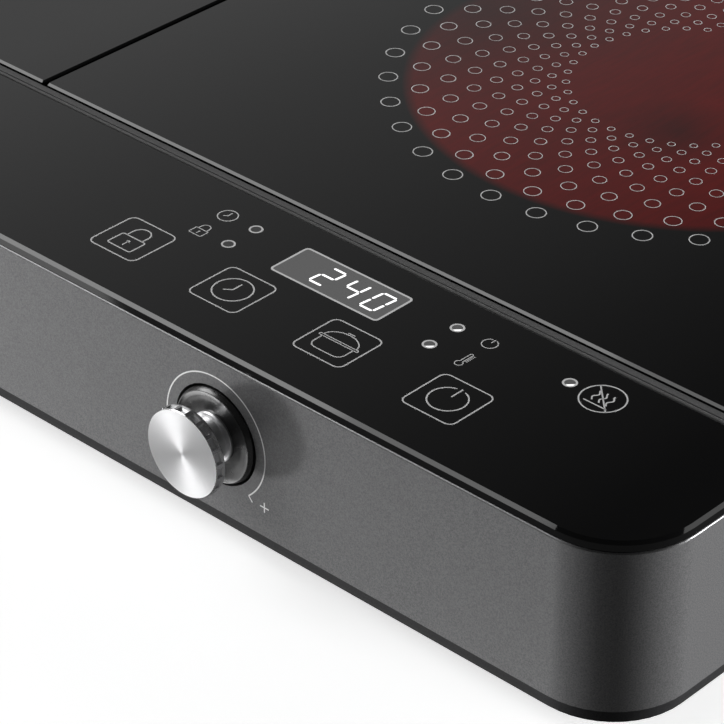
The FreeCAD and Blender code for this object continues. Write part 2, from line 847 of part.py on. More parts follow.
def knob_cap(name, side):
    """Turned aluminium disc with a ring of scooped pockets in its rim, closed at both faces."""
    radius = dim("cap_radius")
    proud = dim("knob_proud")
    cap_back = proud - dim("cap_thick")
    body = turned_part(f"cap_{name}", side, [
        (0, cap_back),
        (7.4, cap_back),
        (7.9, cap_back + 1.0),
        (12.0, cap_back + 1.0),
        (12.4, cap_back),
        (radius - 0.2, cap_back),
        (radius, cap_back + 0.25),
        (radius - 0.15, proud - 0.2),
        (radius - 0.35, proud),
        (0, proud),
    ])
    count = int(DIMENSIONS["cap_notches"])
    pitch = 360.0 / count
    first = DIMENSIONS["cap_first_rib"] + pitch / 2
    notches = [notch(f"notch_{name}_{index}", side, first + pitch * index) for index in range(count)]
    node(f"knob_cap_{name}", cut(f"cap_cut_{name}", body, notches))


def notch(name, side, angle):
    """A scoop in the rim: narrow floor, flared sides and sloping ends, short of both faces."""
    wedge = doc.addObject("Part::Wedge", name)
    flare = {"Xmin": -1.3, "Xmax": 1.3, "X2min": -2.2, "X2max": 2.2,
             "Ymin": 0.0, "Ymax": 1.5,
             "Zmin": -2.1, "Zmax": -0.3, "Z2min": -3.1, "Z2max": -0.3}
    for prop, value in flare.items():
        setattr(wedge, prop, value)
    turn = FreeCAD.Rotation(FreeCAD.Vector(0, -1, 0), angle)
    outward = turn.multVec(FreeCAD.Vector(1, 0, 0))
    lie = FreeCAD.Rotation(FreeCAD.Vector(0, 0, 1), FreeCAD.Vector(0, -1, 0))
    stand = FreeCAD.Rotation(FreeCAD.Vector(0, -1, 0), angle - 90)
    floor = dim("notch_floor")
    place(wedge, (zone_x * side + floor * outward.x, front - dim("knob_proud"),
                  knob_z + floor * outward.z), stand.multiply(lie))
    return wedge


def controls():
    for name, side in SIDES.items():
        control_side(name, side)
        knob_well(name, side)
        encoder(name, side)
        knob_skirt(name, side)
        knob_collar(name, side)
        knob_cap(name, side)
    encoder_nuts()
    control_carrier()


# ---------------------------------------------------------------- heaters

RIBBON_RADII = [24.0, 34.0, 44.0, 54.0, 64.0, 74.0, 84.0]


def upright_part(name, centre_x, bottom, profile):
    """A round part on a zone's vertical axis."""
    body = new_body(f"{name}_body", (centre_x, zone_y, bottom))
    sketch = sketch_on(body, "XZ_Plane", f"{name}_profile")
    polygon(sketch, profile)
    revolve(body, sketch)
    return body


def ribbon(name, centre_x):
    """Resistance ribbon on edge: seven open rings joined in series at a gap in each."""
    thick = dim("ribbon_thick")
    tall = dim("ribbon_tall")
    open_angle = 20.0
    pieces = []
    for index, radius in enumerate(RIBBON_RADII):
        turn = FreeCAD.Rotation(FreeCAD.Vector(0, 0, 1), open_angle / 2)
        spot = (centre_x, zone_y, mat_top)
        outer = cylinder(f"{name}_out_{index}", radius, tall, spot, turn, 360 - open_angle)
        inner = cylinder(f"{name}_in_{index}", dim(radius) - thick, tall, spot)
        pieces.append(cut(f"{name}_loop_{index}", outer, [inner]))
    for index, (inner_radius, outer_radius) in enumerate(zip(RIBBON_RADII, RIBBON_RADII[1:])):
        side = 1 if index % 2 == 0 else -1
        angle = side * open_angle / 2
        turn = FreeCAD.Rotation(FreeCAD.Vector(0, 0, 1), angle)
        link = doc.addObject("Part::Box", f"{name}_link_{index}")
        bind(link, "Length", outer_radius - inner_radius)
        bind(link, "Width", thick)
        bind(link, "Height", tall)
        start = turn.multVec(FreeCAD.Vector(inner_radius - 0.3, 0 if side > 0 else -0.8, 0))
        place(link, (dim(centre_x) + start.x, zone_y + start.y, mat_top), turn)
        pieces.append(link)
    return fuse(name, pieces)


def heater(name, side):
    centre_x = zone_x * side
    radius = dim("pan_radius")
    metal = dim("pan_sheet")
    height = dim("pan_height")
    rod_z = mat_top + dim("ribbon_tall") + 3.6
    hole_length = dim(20)
    rear_wall = zone_y + radius
    rod_hole = cylinder(f"rod_hole_{name}", dim("limiter_radius") + 0.6, hole_length,
                        (centre_x, rear_wall - 12, rod_z), TO_Y)

    pan = upright_part(f"pan_{name}", centre_x, pan_bottom, [
        (0, 0), (radius - 2, 0), (radius, 2), (radius, height),
        (radius - metal, height), (radius - metal, 2.2), (radius - 2.2, metal), (0, metal)])
    node(f"heater_pan_{name}", cut(f"pan_cut_{name}", pan, [rod_hole]))

    inside = radius - metal - 0.1
    mat = upright_part(f"mat_{name}", centre_x, mat_bottom, [
        (0, 0), (inside - 2, 0), (inside, 2), (inside, "mat_thick"), (0, "mat_thick")])
    node(f"heater_insulation_{name}", mat)

    ring_hole = cylinder(f"ring_hole_{name}", dim("limiter_radius") + 0.6, hole_length,
                         (centre_x, rear_wall - 14, rod_z), TO_Y)
    ring = tube(f"ring_{name}", inside, "ring_inner", glass_bottom - mat_top, (centre_x, zone_y, mat_top))
    node(f"insulation_ring_{name}", cut(f"ring_cut_{name}", ring, [ring_hole]))

    node(f"heating_ribbon_{name}", ribbon(f"ribbon_{name}", centre_x))

    limiter(name, centre_x, rear_wall, rod_z)
    bridge(name, centre_x)


def limiter(name, centre_x, rear_wall, rod_z):
    """Rod over the ribbon, with its switch head and two blade terminals behind the pan."""
    rod = cylinder(f"limiter_rod_{name}", "limiter_radius", 188.0, (centre_x, zone_y - 84, rod_z), TO_Y)
    head = box(f"limiter_head_{name}", (24, 24, 16), (centre_x - 12, rear_wall + 3, rod_z - 13))
    tags = []
    for index in range(2):
        corner = (centre_x - 9 + 12 * index, rear_wall + 27, rod_z - 8)
        tags.append(box(f"limiter_tag_{name}_{index}", (6.3, 7, 0.8), corner))
    node(f"thermal_limiter_{name}", fuse(f"limiter_{name}", [rod, head] + tags))


def bridge(name, centre_x):
    """Bracket of folded sheet that holds the pan up under the glass."""
    metal = dim("sheet_metal")
    lift = pan_bottom - base_top
    half_long = dim(86)
    wide = 24
    foot = 14
    size = (half_long * 2, wide, metal)
    plates = [block(f"bridge_top_{name}", size, (centre_x, zone_y), pan_bottom - metal)]
    for index, end in enumerate((-1, 1)):
        leg_x = centre_x + (half_long - metal / 2) * end
        foot_x = centre_x + (half_long + foot / 2 - 1) * end
        plates.append(block(f"bridge_leg_{name}_{index}", (metal, wide, lift), (leg_x, zone_y), base_top))
        plates.append(block(f"bridge_foot_{name}_{index}", (foot, wide, metal), (foot_x, zone_y), base_top))
    node(f"heater_bridge_{name}", fuse(f"bridge_{name}", plates))


# ---------------------------------------------------------------- fan

def fan():
    size = dim("fan_size")
    thick = dim("fan_thick")
    y = dim("fan_y")
    frame = block("fan_block", (size, size, thick), (0, y), base_top)
    bore = cylinder("fan_bore_cut", "fan_bore", thick, (0, y, base_top))
    corner = size / 2 - 4.5
    places = [(corner * sx, y + corner * sy) for sx in (-1, 1) for sy in (-1, 1)]
    holes = [cylinder(f"fan_hole_{index}", 2.1, thick, (x, hole_y, base_top))
             for index, (x, hole_y) in enumerate(places)]
    ring = cut("fan_ring", frame, [bore] + holes)
    stator = cylinder("fan_stator", 16.0, 2.0, (0, y, base_top))
    struts = [block("fan_strut_a", (size - 4, 3, 2), (0, y), base_top),
              block("fan_strut_b", (3, size - 4, 2), (0, y), base_top)]
    post = cylinder("fan_post", 4.0, 9.0, (0, y, base_top))
    bush = cylinder("fan_bush", dim(2) + dim("running_gap"), 12.0, (0, y, base_top + 1))
    solid = fuse("fan_frame_solid", [ring, stator] + struts + [post])
    node("fan_frame", cut("fan_frame_cut", solid, [bush]))

    hub_bottom = base_top + 3
    hub = cylinder("rotor_hub", "fan_hub", 11.0, (0, y, hub_bottom))
    hollow = cylinder("rotor_hollow", dim("fan_hub") - 1.2, 9.5, (0, y, hub_bottom))
    cup = cut("rotor_cup", hub, [hollow])
    pin = cylinder("rotor_pin", 2.0, 12.0, (0, y, hub_bottom - 1))
    annulus = tube("rotor_annulus", dim("fan_bore") - 1, dim("fan_hub") - 0.6, 9.0, (0, y, hub_bottom + 1))
    blades = []
    for index in range(7):
        blade = doc.addObject("Part::Box", f"rotor_blade_{index}")
        blade.Length = 30
        blade.Width = 1.4
        blade.Height = 24
        pitch = FreeCAD.Rotation(FreeCAD.Vector(1, 0, 0), 48)
        spin = FreeCAD.Rotation(FreeCAD.Vector(0, 0, 1), index * 360.0 / 7)
        lean = spin.multiply(pitch)
        shift = lean.multVec(FreeCAD.Vector(12, -0.7, -12))
        place(blade, (shift.x, y + shift.y, hub_bottom + 5.5 + shift.z), lean)
        blades.append(blade)
    trimmed = doc.addObject("Part::Common", "rotor_blades")
    trimmed.Base = fuse("rotor_blades_raw", blades)
    trimmed.Tool = annulus
    node("fan_rotor", fuse("rotor", [cup, pin, trimmed]))
    screws = [screw(f"fan_screw_{index}", x, hole_y, base_top + thick, 1.9, 3.4, 14.0)
              for index, (x, hole_y) in enumerate(places)]
    node("fan_screws", group("fan_screw_set", screws))


def screw(name, x, y, seat, shank, head, length):
    """Pan-head screw standing head up on a seat, with a cross slot."""
    shaft = cylinder(f"{name}_shank", shank, length, (x, y, dim(seat) - length))
    cap = cylinder(f"{name}_head", head, 2.0, (x, y, seat))
    slots = [block(f"{name}_slot_a", (head * 1.2, 0.9, 1.2), (x, y), dim(seat) + 1.0),
             block(f"{name}_slot_b", (0.9, head * 1.2, 1.2), (x, y), dim(seat) + 1.0)]
    return cut(name, fuse(f"{name}_blank", [shaft, cap]), slots)


def screw_from_below(name, x, y, seat, length):
    """Pan-head screw driven upwards through the base."""
    shank = dim("screw_radius") - 0.1
    head = dim("screw_head")
    shaft = cylinder(f"{name}_shank", shank, length, (x, y, seat))
    cap = cylinder(f"{name}_head", head, 2.2, (x, y, dim(seat) - 2.2))
    slots = [block(f"{name}_slot_a", (4.6, 1.0, 1.2), (x, y), dim(seat) - 2.2),
             block(f"{name}_slot_b", (1.0, 4.6, 1.2), (x, y), dim(seat) - 2.2)]
    return cut(name, fuse(f"{name}_blank", [shaft, cap]), slots)


# ---------------------------------------------------------------- power electronics

def power_unit():
    board_y = dim(-22)
    board_top = power_board_z + dim("board_thick")
    board = block("power_board_plate", (92, 150, "board_thick"), (0, board_y), power_board_z)
    posts = []
    holes = []
    for sx in (-1, 1):
        for sy in (-1, 1):
            x, y = dim(41 * sx), board_y + 70 * sy
            posts.append(tube(f"standoff_{sx}_{sy}", 3.5, 1.5, power_board_z - base_top, (x, y, base_top)))
            holes.append(cylinder(f"board_hole_{sx}_{sy}", 1.7, "board_thick", (x, y, power_board_z)))
    node("power_board", cut("power_board_cut", board, holes))
    node("board_standoffs", group("standoffs", posts))

    plate = block("heatsink_plate", (64, 40, 4), (0, board_y + 42), board_top)
    fins = [block(f"heatsink_fin_{index}", (1.6, 40, 20), (index * 6.9 - 31.05, board_y + 42), board_top)
            for index in range(10)]
    node("heatsink", fuse("heatsink_solid", [plate] + fins))

    triacs = []
    for index in range(2):
        x = dim(-14 + 28 * index)
        case = block(f"triac_case_{index}", (10.2, 4.6, 9.2), (x, board_y + 19.6), board_top + 6)
        leg_places = [(x + (leg - 1) * 2.54, board_y + 19.6) for leg in range(3)]
        legs = [block(f"triac_leg_{index}_{leg}", (0.8, 0.5, 6.5), spot, board_top)
                for leg, spot in enumerate(leg_places)]
        triacs.append(fuse(f"triac_{index}", [case] + legs))
    node("power_triacs", group("triacs", triacs))

    relays = [block(f"relay_{index}", (19, 15.5, 15.8), (dim(-24 + 26 * index), board_y - 8), board_top)
              for index in range(2)]
    node("zone_relays", group("relays", relays))
    node("filter_capacitor", block("x2_capacitor", (26, 11, 18), (18, board_y - 36), board_top))
    ring = doc.addObject("Part::Torus", "choke_ring")
    ring.Radius1 = 9.0
    ring.Radius2 = 4.5
    place(ring, (-20, board_y - 40, board_top + 4.5))
    node("filter_choke", ring)


def mains_entry():
    """Cable gland in the rear wall, its clamping nut and the terminal block behind it."""
    x = -dim("gland_x")
    z = dim("gland_rise")
    inner_face = back - dim("sheet_metal")
    stem = cylinder("gland_stem", dim("gland_radius") - 0.1, 14.0, (x, back, z), TO_FRONT)
    collar = cylinder("gland_collar", 11.0, 2.5, (x, back + 2.5, z), TO_FRONT)
    cone = doc.addObject("Part::Cone", "gland_cone")
    bind(cone, "Radius1", 8.5)
    bind(cone, "Radius2", 6.6)
    bind(cone, "Height", dim("gland_proud") - 2.5)
    place(cone, (x, back + 2.5, z), TO_Y)
    bore = cylinder("gland_bore_cut", "gland_bore", 40.0, (x, back + 10, z), TO_FRONT)
    node("cable_gland", cut("gland", fuse("gland_solid", [stem, collar, cone]), [bore]))
    prism = doc.addObject("Part::Prism", "gland_hex")
    prism.Polygon = 6
    prism.Circumradius = 11.5
    prism.Height = 4.0
    place(prism, (x, inner_face, z), TO_FRONT)
    hole = cylinder("gland_nut_hole", dim("gland_radius") - 0.1, 4.0, (x, inner_face, z), TO_FRONT)
    node("gland_nut", cut("gland_nut_cut", prism, [hole]))

    strip_y = back - 27
    strip = block("terminal_strip", (48, 20, 17), (x, strip_y), base_top)
    ways = [(index, x + 15 * (index - 1)) for index in range(3)]
    wells = [cylinder(f"terminal_well_{index}", 3.0, 6.0, (way_x, strip_y, base_top + 11))
             for index, way_x in ways]
    mouths = [cylinder(f"terminal_mouth_{index}", 2.2, 24.0, (way_x, strip_y - 12, base_top + 6), TO_Y)
              for index, way_x in ways]
    node("terminal_block", cut("terminals", strip, wells + mouths))


# ---------------------------------------------------------------- feet and base screws

def feet():
    rubber = []
    screws = []
    for index, (x, y) in enumerate(foot_places()):
        spot_y = middle_y + y
        body = new_body(f"foot_body_{index}", (x, spot_y, 0))
        radius = dim("foot_radius")
        tall = dim("foot_height")
        profile = sketch_on(body, "XZ_Plane", f"foot_profile_{index}")
        polygon(profile, [
            (4.4, 0.6), (8.0, 0.6), (8.6, 0), (radius - 2.0, 0), (radius - 0.8, 0.8),
            (radius, tall), (2.1, tall), (2.1, 4.4), (4.4, 4.4)])
        revolve(body, profile)
        rubber.append(body)
        screws.append(screw_from_below(f"foot_screw_{index}", x, spot_y, 4.4, 9.0))
    node("rubber_feet", group("feet_set", rubber))
    node("foot_screws", group("foot_screw_set", screws))


def base_screws():
    screws = [screw_from_below(f"base_screw_{index}", x, middle_y + y, base_bottom, 8.0)
              for index, (x, y) in enumerate(screw_places())]
    node("base_screws", group("base_screw_set", screws))


# ---------------------------------------------------------------- build, check, export

def build():
    housing_shell()
    base_tray()
    glass_deck()
    glass_seal()
    seam_trim()
    glass_rails()
    controls()
    for name, side in SIDES.items():
        heater(name, side)
    fan()
    power_unit()
    mains_entry()
    feet()
    base_screws()
    doc.recompute()


def check():
    for item in doc.Objects:
        if "Invalid" in item.State or "Error" in item.State:
            raise RuntimeError(f"{item.Name} failed: {item.State}")
    for name, item in nodes:
        if item.Shape.isNull() or not item.Shape.isValid() or not item.Shape.Solids:
            raise RuntimeError(f"{name} has no valid solid")


def export():
    os.makedirs("parts", exist_ok=True)
    for name, item in nodes:
        item.Shape.exportStep(f"parts/{name}.step")
        bounds = item.Shape.BoundBox
        print(f"{name:26s} {len(item.Shape.Solids)} solids  {item.Shape.Volume / 1000:9.2f} cm3  "
              f"z {bounds.ZMin:.2f} to {bounds.ZMax:.2f}")


build()
check()
export()
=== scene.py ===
"""Looks of the two-zone hot plate: materials, printed graphics, display, glow, lights and camera.

Lengths in the drawing functions are in millimetres; Blender objects are in metres.
"""

import json
import math

import bpy
from mathutils import Matrix, Vector


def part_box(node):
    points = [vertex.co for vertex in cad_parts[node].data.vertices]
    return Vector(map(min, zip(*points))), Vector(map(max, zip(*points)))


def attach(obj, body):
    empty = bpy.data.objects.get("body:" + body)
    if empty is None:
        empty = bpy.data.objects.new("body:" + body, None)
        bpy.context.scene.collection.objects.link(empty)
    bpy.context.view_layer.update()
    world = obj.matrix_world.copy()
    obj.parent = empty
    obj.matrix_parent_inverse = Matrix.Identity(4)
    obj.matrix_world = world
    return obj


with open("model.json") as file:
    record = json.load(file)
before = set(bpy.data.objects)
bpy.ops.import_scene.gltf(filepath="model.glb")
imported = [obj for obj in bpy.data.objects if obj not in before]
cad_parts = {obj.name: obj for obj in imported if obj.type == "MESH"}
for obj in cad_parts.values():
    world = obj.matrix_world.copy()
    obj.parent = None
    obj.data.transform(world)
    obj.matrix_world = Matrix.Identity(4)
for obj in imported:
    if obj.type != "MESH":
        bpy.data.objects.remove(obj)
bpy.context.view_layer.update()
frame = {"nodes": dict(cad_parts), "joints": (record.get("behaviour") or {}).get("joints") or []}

MM = 0.001
SIDES = {"right": 1, "left": -1}

# Printed layers stand this far out of the face and start this far inside it, in millimetres.
PRINT_PROUD = 0.02
PRINT_SUNK = 0.01


# ---------------------------------------------------------------- places, from the frame


def middle(node):
    """Centre of a CAD node's box."""
    low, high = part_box(node)
    return (low + high) / 2


GLASS_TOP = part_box("control_glass")[1].z
GLASS_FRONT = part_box("control_glass")[0].y
WALL_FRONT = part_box("housing_shell")[0].y
WALL_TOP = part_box("housing_shell")[1].z
ZONE = {side: middle(f"heater_pan_{side}") for side in SIDES}
CAP_RADIUS = (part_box("knob_cap_right")[1].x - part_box("knob_cap_right")[0].x) / 2
KNOB = {
    side: Vector(joint["pos_m"])
    for side in SIDES
    for joint in frame["joints"]
    if joint["name"] == f"knob_{side}_turn"
}


def panel_place(side):
    """Drawing frame of a control panel: x from the zone's centre line, y back from the glass's front edge."""
    return Matrix.Translation((ZONE[side].x, GLASS_FRONT, GLASS_TOP))


def zone_place(side):
    """Drawing frame of a zone: its centre, on the glass."""
    return Matrix.Translation((ZONE[side].x, ZONE[side].y, GLASS_TOP))


def knob_place(side):
    """Drawing frame on the front wall round a knob: x to the right, y up, z out of the wall."""
    upright = Matrix.Rotation(math.radians(90), 4, "X")
    return Matrix.Translation((KNOB[side].x, WALL_FRONT, KNOB[side].z)) @ upright


# ---------------------------------------------------------------- node materials


class Finish:
    """A node material round one Principled shader, with the few patterns that the finishes share."""

    def __init__(self, name, sockets):
        self.material = bpy.data.materials.new(name)
        self.material.use_nodes = True
        self.tree = self.material.node_tree
        self.shader = self.tree.nodes["Principled BSDF"]
        for socket, value in sockets.items():
            self.shader.inputs[socket].default_value = value
        self.coordinates = self.tree.nodes.new("ShaderNodeTexCoord").outputs["Object"]
        self.height = None

    def node(self, kind, inputs=None, **settings):
        """Adds a node; an input is a number, a colour or another node's socket."""
        made = self.tree.nodes.new("ShaderNode" + kind)
        for setting, value in settings.items():
            setattr(made, setting, value)
        for socket, value in (inputs or {}).items():
            if isinstance(value, bpy.types.NodeSocket):
                self.tree.links.new(value, made.inputs[socket])
            else:
                made.inputs[socket].default_value = value
        return made

    def feed(self, socket, source):
        self.tree.links.new(source, self.shader.inputs[socket])

    def math(self, operation, first, second=0.0):
        return self.node("Math", {0: first, 1: second}, operation=operation).outputs[0]

    def stretched(self, scale):
        """Object coordinates drawn out by a factor along each axis."""
        return self.node("Mapping", {"Vector": self.coordinates, "Scale": scale}).outputs[0]

    def noise(self, size, detail=3.0, stretch=None):
        """Cloudy pattern whose features are about size millimetres across."""
        vector = self.stretched(stretch) if stretch else self.coordinates
        inputs = {"Vector": vector, "Scale": 1 / (size * MM), "Detail": detail}
        return self.node("TexNoise", inputs).outputs["Fac"]

    def cells(self, size, feature="F1", output="Distance"):
        inputs = {"Vector": self.coordinates, "Scale": 1 / (size * MM)}
        return self.node("TexVoronoi", inputs, feature=feature).outputs[output]

    def between(self, pattern, low, high, start=0.3, end=0.7):
        """A pattern's values from start to end, mapped onto low to high."""
        inputs = {"Value": pattern, "From Min": start, "From Max": end, "To Min": low, "To Max": high}
        return self.node("MapRange", inputs).outputs["Result"]

    def mixed(self, factor, first, second):
        inputs = {0: factor, 6: (*first, 1), 7: (*second, 1)}
        return self.node("Mix", inputs, data_type="RGBA").outputs[2]

    def colour(self, pattern, first, second, start=0.3, end=0.7):
        self.feed("Base Color", self.mixed(self.between(pattern, 0, 1, start, end), first, second))
        return self

    def roughness(self, pattern, low, high):
        self.feed("Roughness", self.between(pattern, low, high))
        return self

    def bump(self, pattern, depth, strength=0.5):
        """Relief of about depth millimetres, laid over any relief that is there already."""
        inputs = {"Height": pattern, "Distance": depth * MM, "Strength": strength}
        if self.height:
            inputs["Normal"] = self.height
        self.height = self.node("Bump", inputs).outputs["Normal"]
        self.feed("Normal", self.height)
        return self


def grey(value):
    return (value, value, value)


# The folded edge of the wall shines above this depth under its top, fully so above the second.
RIM_FROM = 0.65
RIM_FULL = 0.5
RIM_METALLIC = 0.9
RIM_POLISH = 0.25
PAINT_GRAIN = 0.4


def painted_steel():
    """Grey paint with a fine grain under a thin coat, which shines on the folded edges."""
    paint = Finish("painted_steel", {"Specular IOR Level": 0.25, "Coat Weight": 0.6, "Coat Roughness": 0.25})
    grain = paint.noise(PAINT_GRAIN, 2.0)
    height = paint.node("SeparateXYZ", {"Vector": paint.coordinates}).outputs["Z"]
    rim = paint.between(height, 0.0, 1.0, WALL_TOP - RIM_FROM * MM, WALL_TOP - RIM_FULL * MM)
    paint.feed("Metallic", paint.math("MULTIPLY", rim, RIM_METALLIC))
    paint.colour(grain, (0.108, 0.108, 0.111), (0.186, 0.186, 0.189))
    flat = paint.between(paint.noise(18.0), 0.55, 0.63)
    paint.feed("Roughness", paint.math("SUBTRACT", flat, paint.math("MULTIPLY", rim, RIM_POLISH)))
    return paint.bump(grain, 0.012, 0.35).material


def trim_paint():
    """The body's paint on the strip in the seam, without the thin coat over it."""
    paint = Finish("trim_paint", {"Specular IOR Level": 0.25, "Roughness": 0.6})
    grain = paint.noise(PAINT_GRAIN, 2.0)
    paint.colour(grain, grey(0.11), grey(0.15))
    return paint.bump(grain, 0.01, 0.3).material


def base_paint():
    paint = Finish("base_paint", {"Roughness": 0.6, "Specular IOR Level": 0.25})
    paint.colour(paint.noise(0.5), (0.018, 0.018, 0.019), (0.030, 0.030, 0.032))
    return paint.bump(paint.noise(0.35, 2.0), 0.03, 0.5).material


def black_glass(name="black_glass"):
    glass = Finish(name, {"Base Color": (0.003, 0.003, 0.0032, 1), "IOR": 1.52})
    glass.roughness(glass.noise(45.0, 4.0), 0.035, 0.06)
    glass.bump(glass.noise(120.0, 1.0), 0.02, 0.1)
    return glass


def silicone():
    seal = Finish("silicone", {"Roughness": 0.6, "Specular IOR Level": 0.3})
    seal.colour(seal.noise(4.0), grey(0.012), grey(0.022))
    return seal.bump(seal.noise(0.4), 0.01).material


def rubber():
    foot = Finish("rubber", {"Roughness": 0.8, "Specular IOR Level": 0.25})
    foot.colour(foot.noise(3.0), grey(0.014), grey(0.026))
    return foot.bump(foot.noise(0.6, 5.0), 0.05).material


def zinc_steel():
    """Galvanised sheet: pale crystals a few millimetres across."""
    sheet = Finish("zinc_steel", {"Metallic": 1.0})
    crystals = sheet.cells(4.0, output="Color")
    sheet.colour(crystals, (0.42, 0.43, 0.44), (0.60, 0.61, 0.62), 0.1, 0.9)
    sheet.roughness(crystals, 0.32, 0.5)
    return sheet.bump(sheet.noise(0.3), 0.008, 0.3).material


def steel_fasteners():
    steel = Finish("steel_fasteners", {"Metallic": 1.0})
    turned = steel.noise(0.25, 2.0, (1.0, 1.0, 6.0))
    steel.colour(steel.noise(2.0), grey(0.50), grey(0.62))
    steel.roughness(turned, 0.25, 0.42)
    return steel.bump(turned, 0.01, 0.4).material


def knob_radius(finish):
    """Distance from the nearer knob's axis, in metres, at any point of a knob piece."""
    parts = finish.node("SeparateXYZ", {"Vector": finish.coordinates}).outputs
    across = finish.math("SUBTRACT", finish.math("ABSOLUTE", parts["X"]), KNOB["right"].x)
    above = finish.math("SUBTRACT", parts["Z"], KNOB["right"].z)
    flat = finish.node("CombineXYZ", {"X": across, "Y": above}).outputs[0]
    return finish.node("VectorMath", {0: flat}, operation="LENGTH").outputs["Value"]


# The knob's turned face ends this far inside the cap's radius; the polished rim starts at the second.
FACE_END = 0.5
RIM_START = 0.35
GROOVES_PER_METRE = 9000.0
FACE_ANISOTROPY = 0.7
RIM_ROUGHNESS = 0.15


def spun_aluminium():
    """Turned face: grooves round the knob's axis spread each highlight into a fan. The rim is polished."""
    metal = Finish("spun_aluminium", {"Metallic": 1.0, "Anisotropic Rotation": 0.25})
    radius = knob_radius(metal)
    inputs = {"W": metal.math("MULTIPLY", radius, GROOVES_PER_METRE), "Detail": 2.0, "Scale": 1.0}
    grooves = metal.node("TexNoise", inputs, noise_dimensions="1D").outputs["Fac"]
    face_end = CAP_RADIUS - FACE_END * MM
    rim_start = CAP_RADIUS - RIM_START * MM
    face = metal.between(radius, 1.0, 0.0, face_end, rim_start)
    metal.colour(grooves, (0.88, 0.88, 0.89), (0.97, 0.97, 0.98))
    metal.feed("Anisotropic", metal.math("MULTIPLY", face, FACE_ANISOTROPY))
    turned = metal.math("MULTIPLY", face, metal.between(grooves, 0.2, 0.3))
    metal.feed("Roughness", metal.math("ADD", turned, RIM_ROUGHNESS))
    metal.bump(grooves, 0.004, 0.35)
    tangent = metal.node("Tangent", direction_type="RADIAL", axis="Y").outputs[0]
    metal.feed("Tangent", tangent)
    return metal.material


def knob_black():
    """Dark chromed skin of the dished skirt."""
    chrome = Finish("knob_black", {"Metallic": 0.95})
    haze = chrome.noise(2.0)
    chrome.colour(chrome.noise(5.0), grey(0.085), grey(0.115))
    chrome.roughness(haze, 0.20, 0.28)
    return chrome.bump(haze, 0.003, 0.2).material


def black_plastic():
    moulded = Finish("black_plastic", {"Specular IOR Level": 0.4})
    moulded.colour(moulded.noise(2.0), grey(0.012), grey(0.024))
    moulded.roughness(moulded.noise(6.0), 0.42, 0.58)
    return moulded.bump(moulded.cells(0.35), 0.02, 0.4).material


def circuit_board():
    """Green solder mask over copper tracks that run in a square grid."""
    board = Finish("circuit_board", {"Roughness": 0.35, "Coat Weight": 0.3})
    tracks = board.node(
        "TexBrick",
        {"Vector": board.coordinates, "Scale": 1 / (6 * MM), "Mortar Size": 0.04},
    ).outputs["Fac"]
    board.colour(tracks, (0.01, 0.075, 0.03), (0.03, 0.16, 0.06), 0.0, 1.0)
    return board.bump(tracks, 0.03, 0.5).material


def lamp_plastic():
    lamp = Finish("lamp_plastic", {"Roughness": 0.25, "Transmission Weight": 0.3})
    lamp.colour(lamp.noise(1.5), grey(0.55), grey(0.72))
    return lamp.bump(lamp.noise(0.8), 0.005, 0.3).material


def conductive_foam():
    foam = Finish("conductive_foam", {"Roughness": 0.95})
    pores = foam.cells(0.5)
    foam.colour(pores, grey(0.03), grey(0.10), 0.1, 0.6)
    return foam.bump(pores, 0.15, 0.9).material


def insulation():
    """Pressed mineral board with short fibres."""
    mat = Finish("insulation", {"Roughness": 0.95})
    fibres = mat.noise(0.8, 6.0, (1.0, 3.0, 1.0))
    mat.colour(fibres, (0.62, 0.60, 0.55), (0.80, 0.78, 0.73))
    return mat.bump(fibres, 0.2, 0.8).material


def ribbon_alloy():
    ribbon = Finish("ribbon_alloy", {"Metallic": 0.9, "Roughness": 0.5})
    oxide = ribbon.noise(2.5, 4.0)
    ribbon.colour(oxide, (0.14, 0.11, 0.10), (0.34, 0.24, 0.20))
    return ribbon.bump(oxide, 0.01).material


def ceramic_white():
    ceramic = Finish("ceramic_white", {"Roughness": 0.35, "Specular IOR Level": 0.5})
    ceramic.colour(ceramic.noise(3.0), (0.70, 0.69, 0.66), (0.82, 0.81, 0.78))
    return ceramic.bump(ceramic.noise(0.5), 0.01, 0.4).material


def component_plastic():
    part = Finish("component_plastic", {"Roughness": 0.4})
    part.colour(part.noise(6.0), (0.02, 0.035, 0.075), (0.035, 0.055, 0.11))
    return part.bump(part.noise(0.3), 0.01, 0.4).material


def board_nylon():
    nylon = Finish("board_nylon", {"Roughness": 0.4, "Subsurface Weight": 0.1})
    nylon.colour(nylon.noise(2.0), (0.66, 0.65, 0.60), (0.76, 0.75, 0.70))
    return nylon.bump(nylon.noise(0.6), 0.01, 0.3).material


def heatsink_aluminium():
    fins = Finish("heatsink_aluminium", {"Metallic": 1.0})
    drawn = fins.noise(0.3, 3.0, (1.0, 0.05, 1.0))
    fins.colour(drawn, grey(0.60), grey(0.74))
    fins.roughness(drawn, 0.3, 0.45)
    return fins.bump(drawn, 0.01, 0.5).material


def ferrite():
    core = Finish("ferrite", {"Roughness": 0.6})
    core.colour(core.noise(0.6, 5.0), grey(0.035), grey(0.075))
    return core.bump(core.noise(0.4, 4.0), 0.04, 0.6).material


# Red light of the working heater, seen through the glass of the right zone.
GLOW_RADIUS = 89.5
GLOW_EDGE = 2.0
GLOW_COLOUR = (1.0, 0.012, 0.004, 1)
GLOW_STRENGTH = 0.064

# Duller places in the glow: x and y from the zone's centre, radius, share of the light lost.
GLOW_DIPS = ((-84.0, -5.0, 68.0, 0.68), (16.0, -26.0, 22.0, 0.55))


